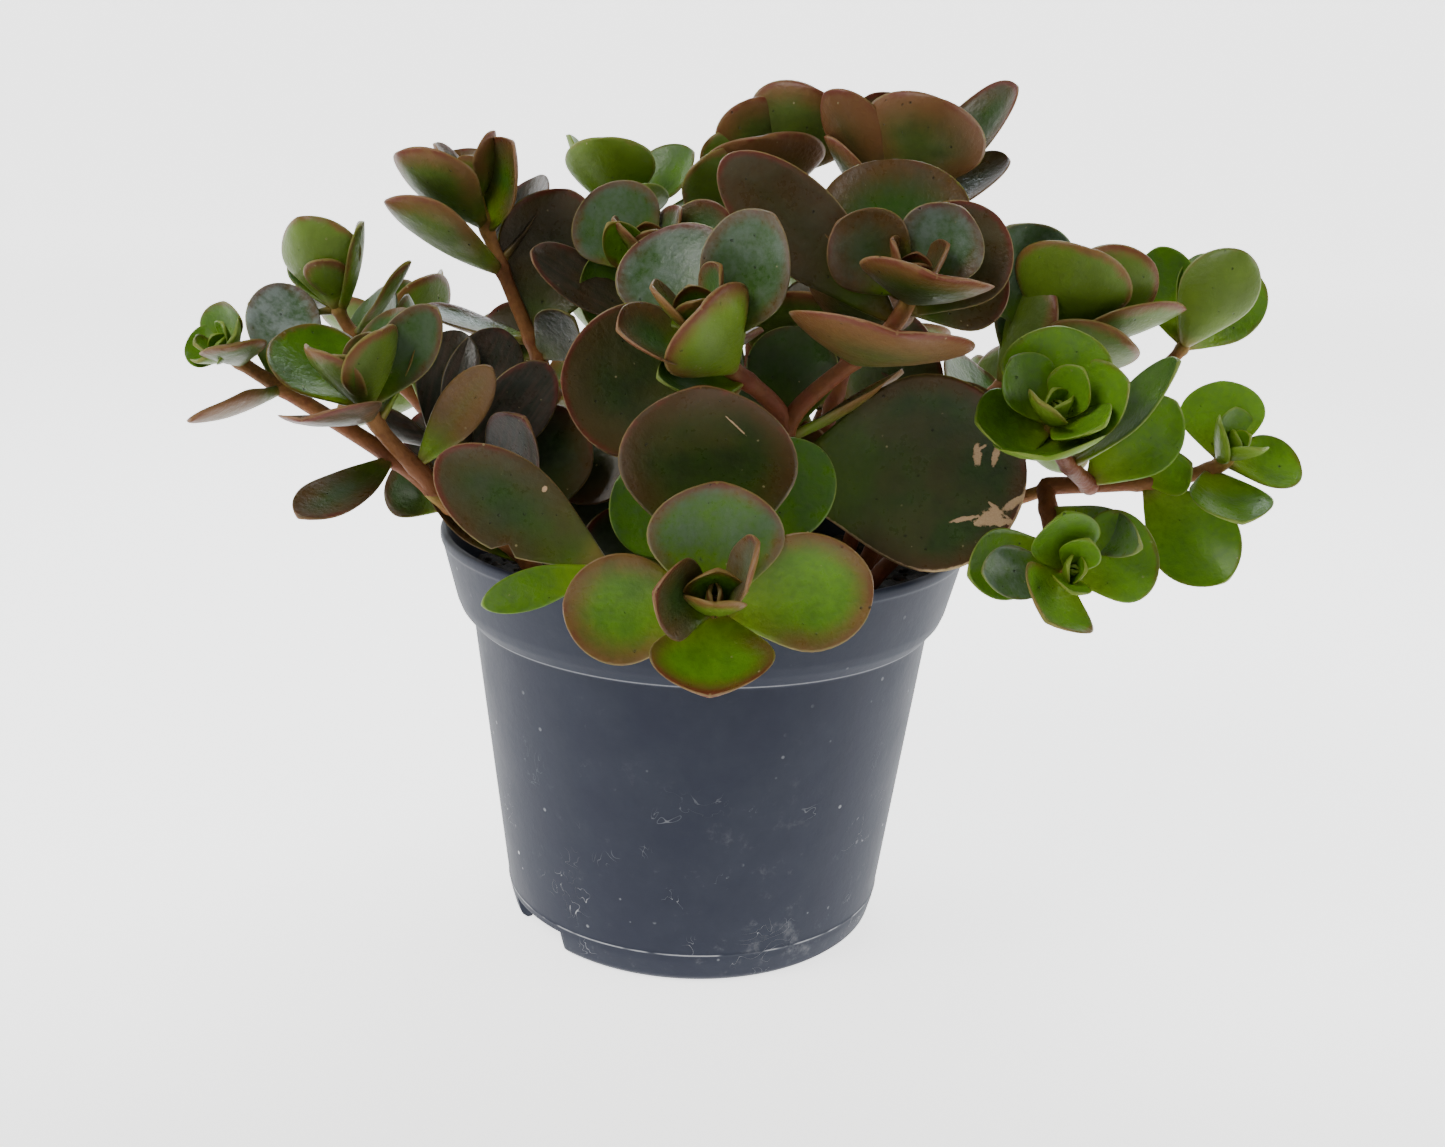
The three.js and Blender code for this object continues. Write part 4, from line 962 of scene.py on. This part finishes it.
lightAim = (0, 0, 90)
lightPlan = dict(
    keyLight=dict(place=(-420, -330, 620), size=380, power=5.2, colour=(1.0, 0.98, 0.95)),
    skyLight=dict(place=(60, 420, 560), size=340, power=3.2, colour=(0.86, 0.93, 1.0)),
    sideLight=dict(place=(560, -160, 300), size=340, power=1.4, colour=(1.0, 0.97, 0.92)),
)
skyPlan = dict(colour=(0.93, 0.95, 1.0), strength=0.16)


def makeLights():
    # Soft discs that face lightAim, and an even sky.
    for name, plan in lightPlan.items():
        lamp = bpy.data.lights.new(name, "AREA")
        lamp.shape, lamp.size = "DISK", plan["size"] / 1000
        lamp.energy, lamp.color = plan["power"], plan["colour"]
        back = unit(np.array(plan["place"], float) - lightAim)
        stood(name, lamp, plan["place"], np.cross(back, unit(np.cross(up, back))), back)
    world = bpy.data.worlds.new("softSky")
    world.use_nodes = True
    background = world.node_tree.nodes["Background"].inputs
    background["Color"].default_value = (*skyPlan["colour"], 1)
    background["Strength"].default_value = skyPlan["strength"]
    bpy.context.scene.world = world


floorPlan = dict(
    radius=1500, bend=900, wall=1600, sunk=0.02, rows=24, columns=96, pale=(0.76, 0.76, 0.755),
    dull=(0.74, 0.74, 0.74), frontGlow=(0.0, 0.0, 0.0), backGlow=(2.2, 2.2, 2.2), glowSpan=(-0.35, 0.02),
)


def makeFloor():
    # A flat disc that bends up into a low wall, turned about the axis: radius + bend sin a and
    # bend (1 - cos a). It glows behind the plant, as a burnt-out backdrop does.
    p = floorPlan
    a = np.linspace(0, np.pi / 2, p["rows"])
    bend = np.column_stack([p["radius"] + p["bend"] * np.sin(a), p["bend"] * (1 - np.cos(a))])
    inner = [(0, 0), (60, 0), (300, 0), (900, 0)]
    profile = np.vstack([inner, bend, [(p["radius"] + p["bend"], p["wall"]), (0, p["wall"])]])
    points, faces = turnedSkin(profile - (0, p["sunk"]), p["columns"])
    faces = faces[(faces != len(points) - 1).all(1)]  # open at the top
    card = Finish("paleCard")
    tint = card.mix(card.noise(400.0), p["pale"], p["dull"])
    y = card.node("SeparateXYZ", {}, {0: card.place()}, 1)
    glow = card.mix(y.ease(*p["glowSpan"]), p["frontGlow"], p["backGlow"])
    floor = addMesh("floor", points, faces, card.done(
        Base_Color=tint, Roughness=0.9, Specular_IOR_Level=0.1, Emission_Color=glow, Emission_Strength=1.0))


makeCamera()
makeLights()
makeFloor()
print("camera, lights and floor: done")
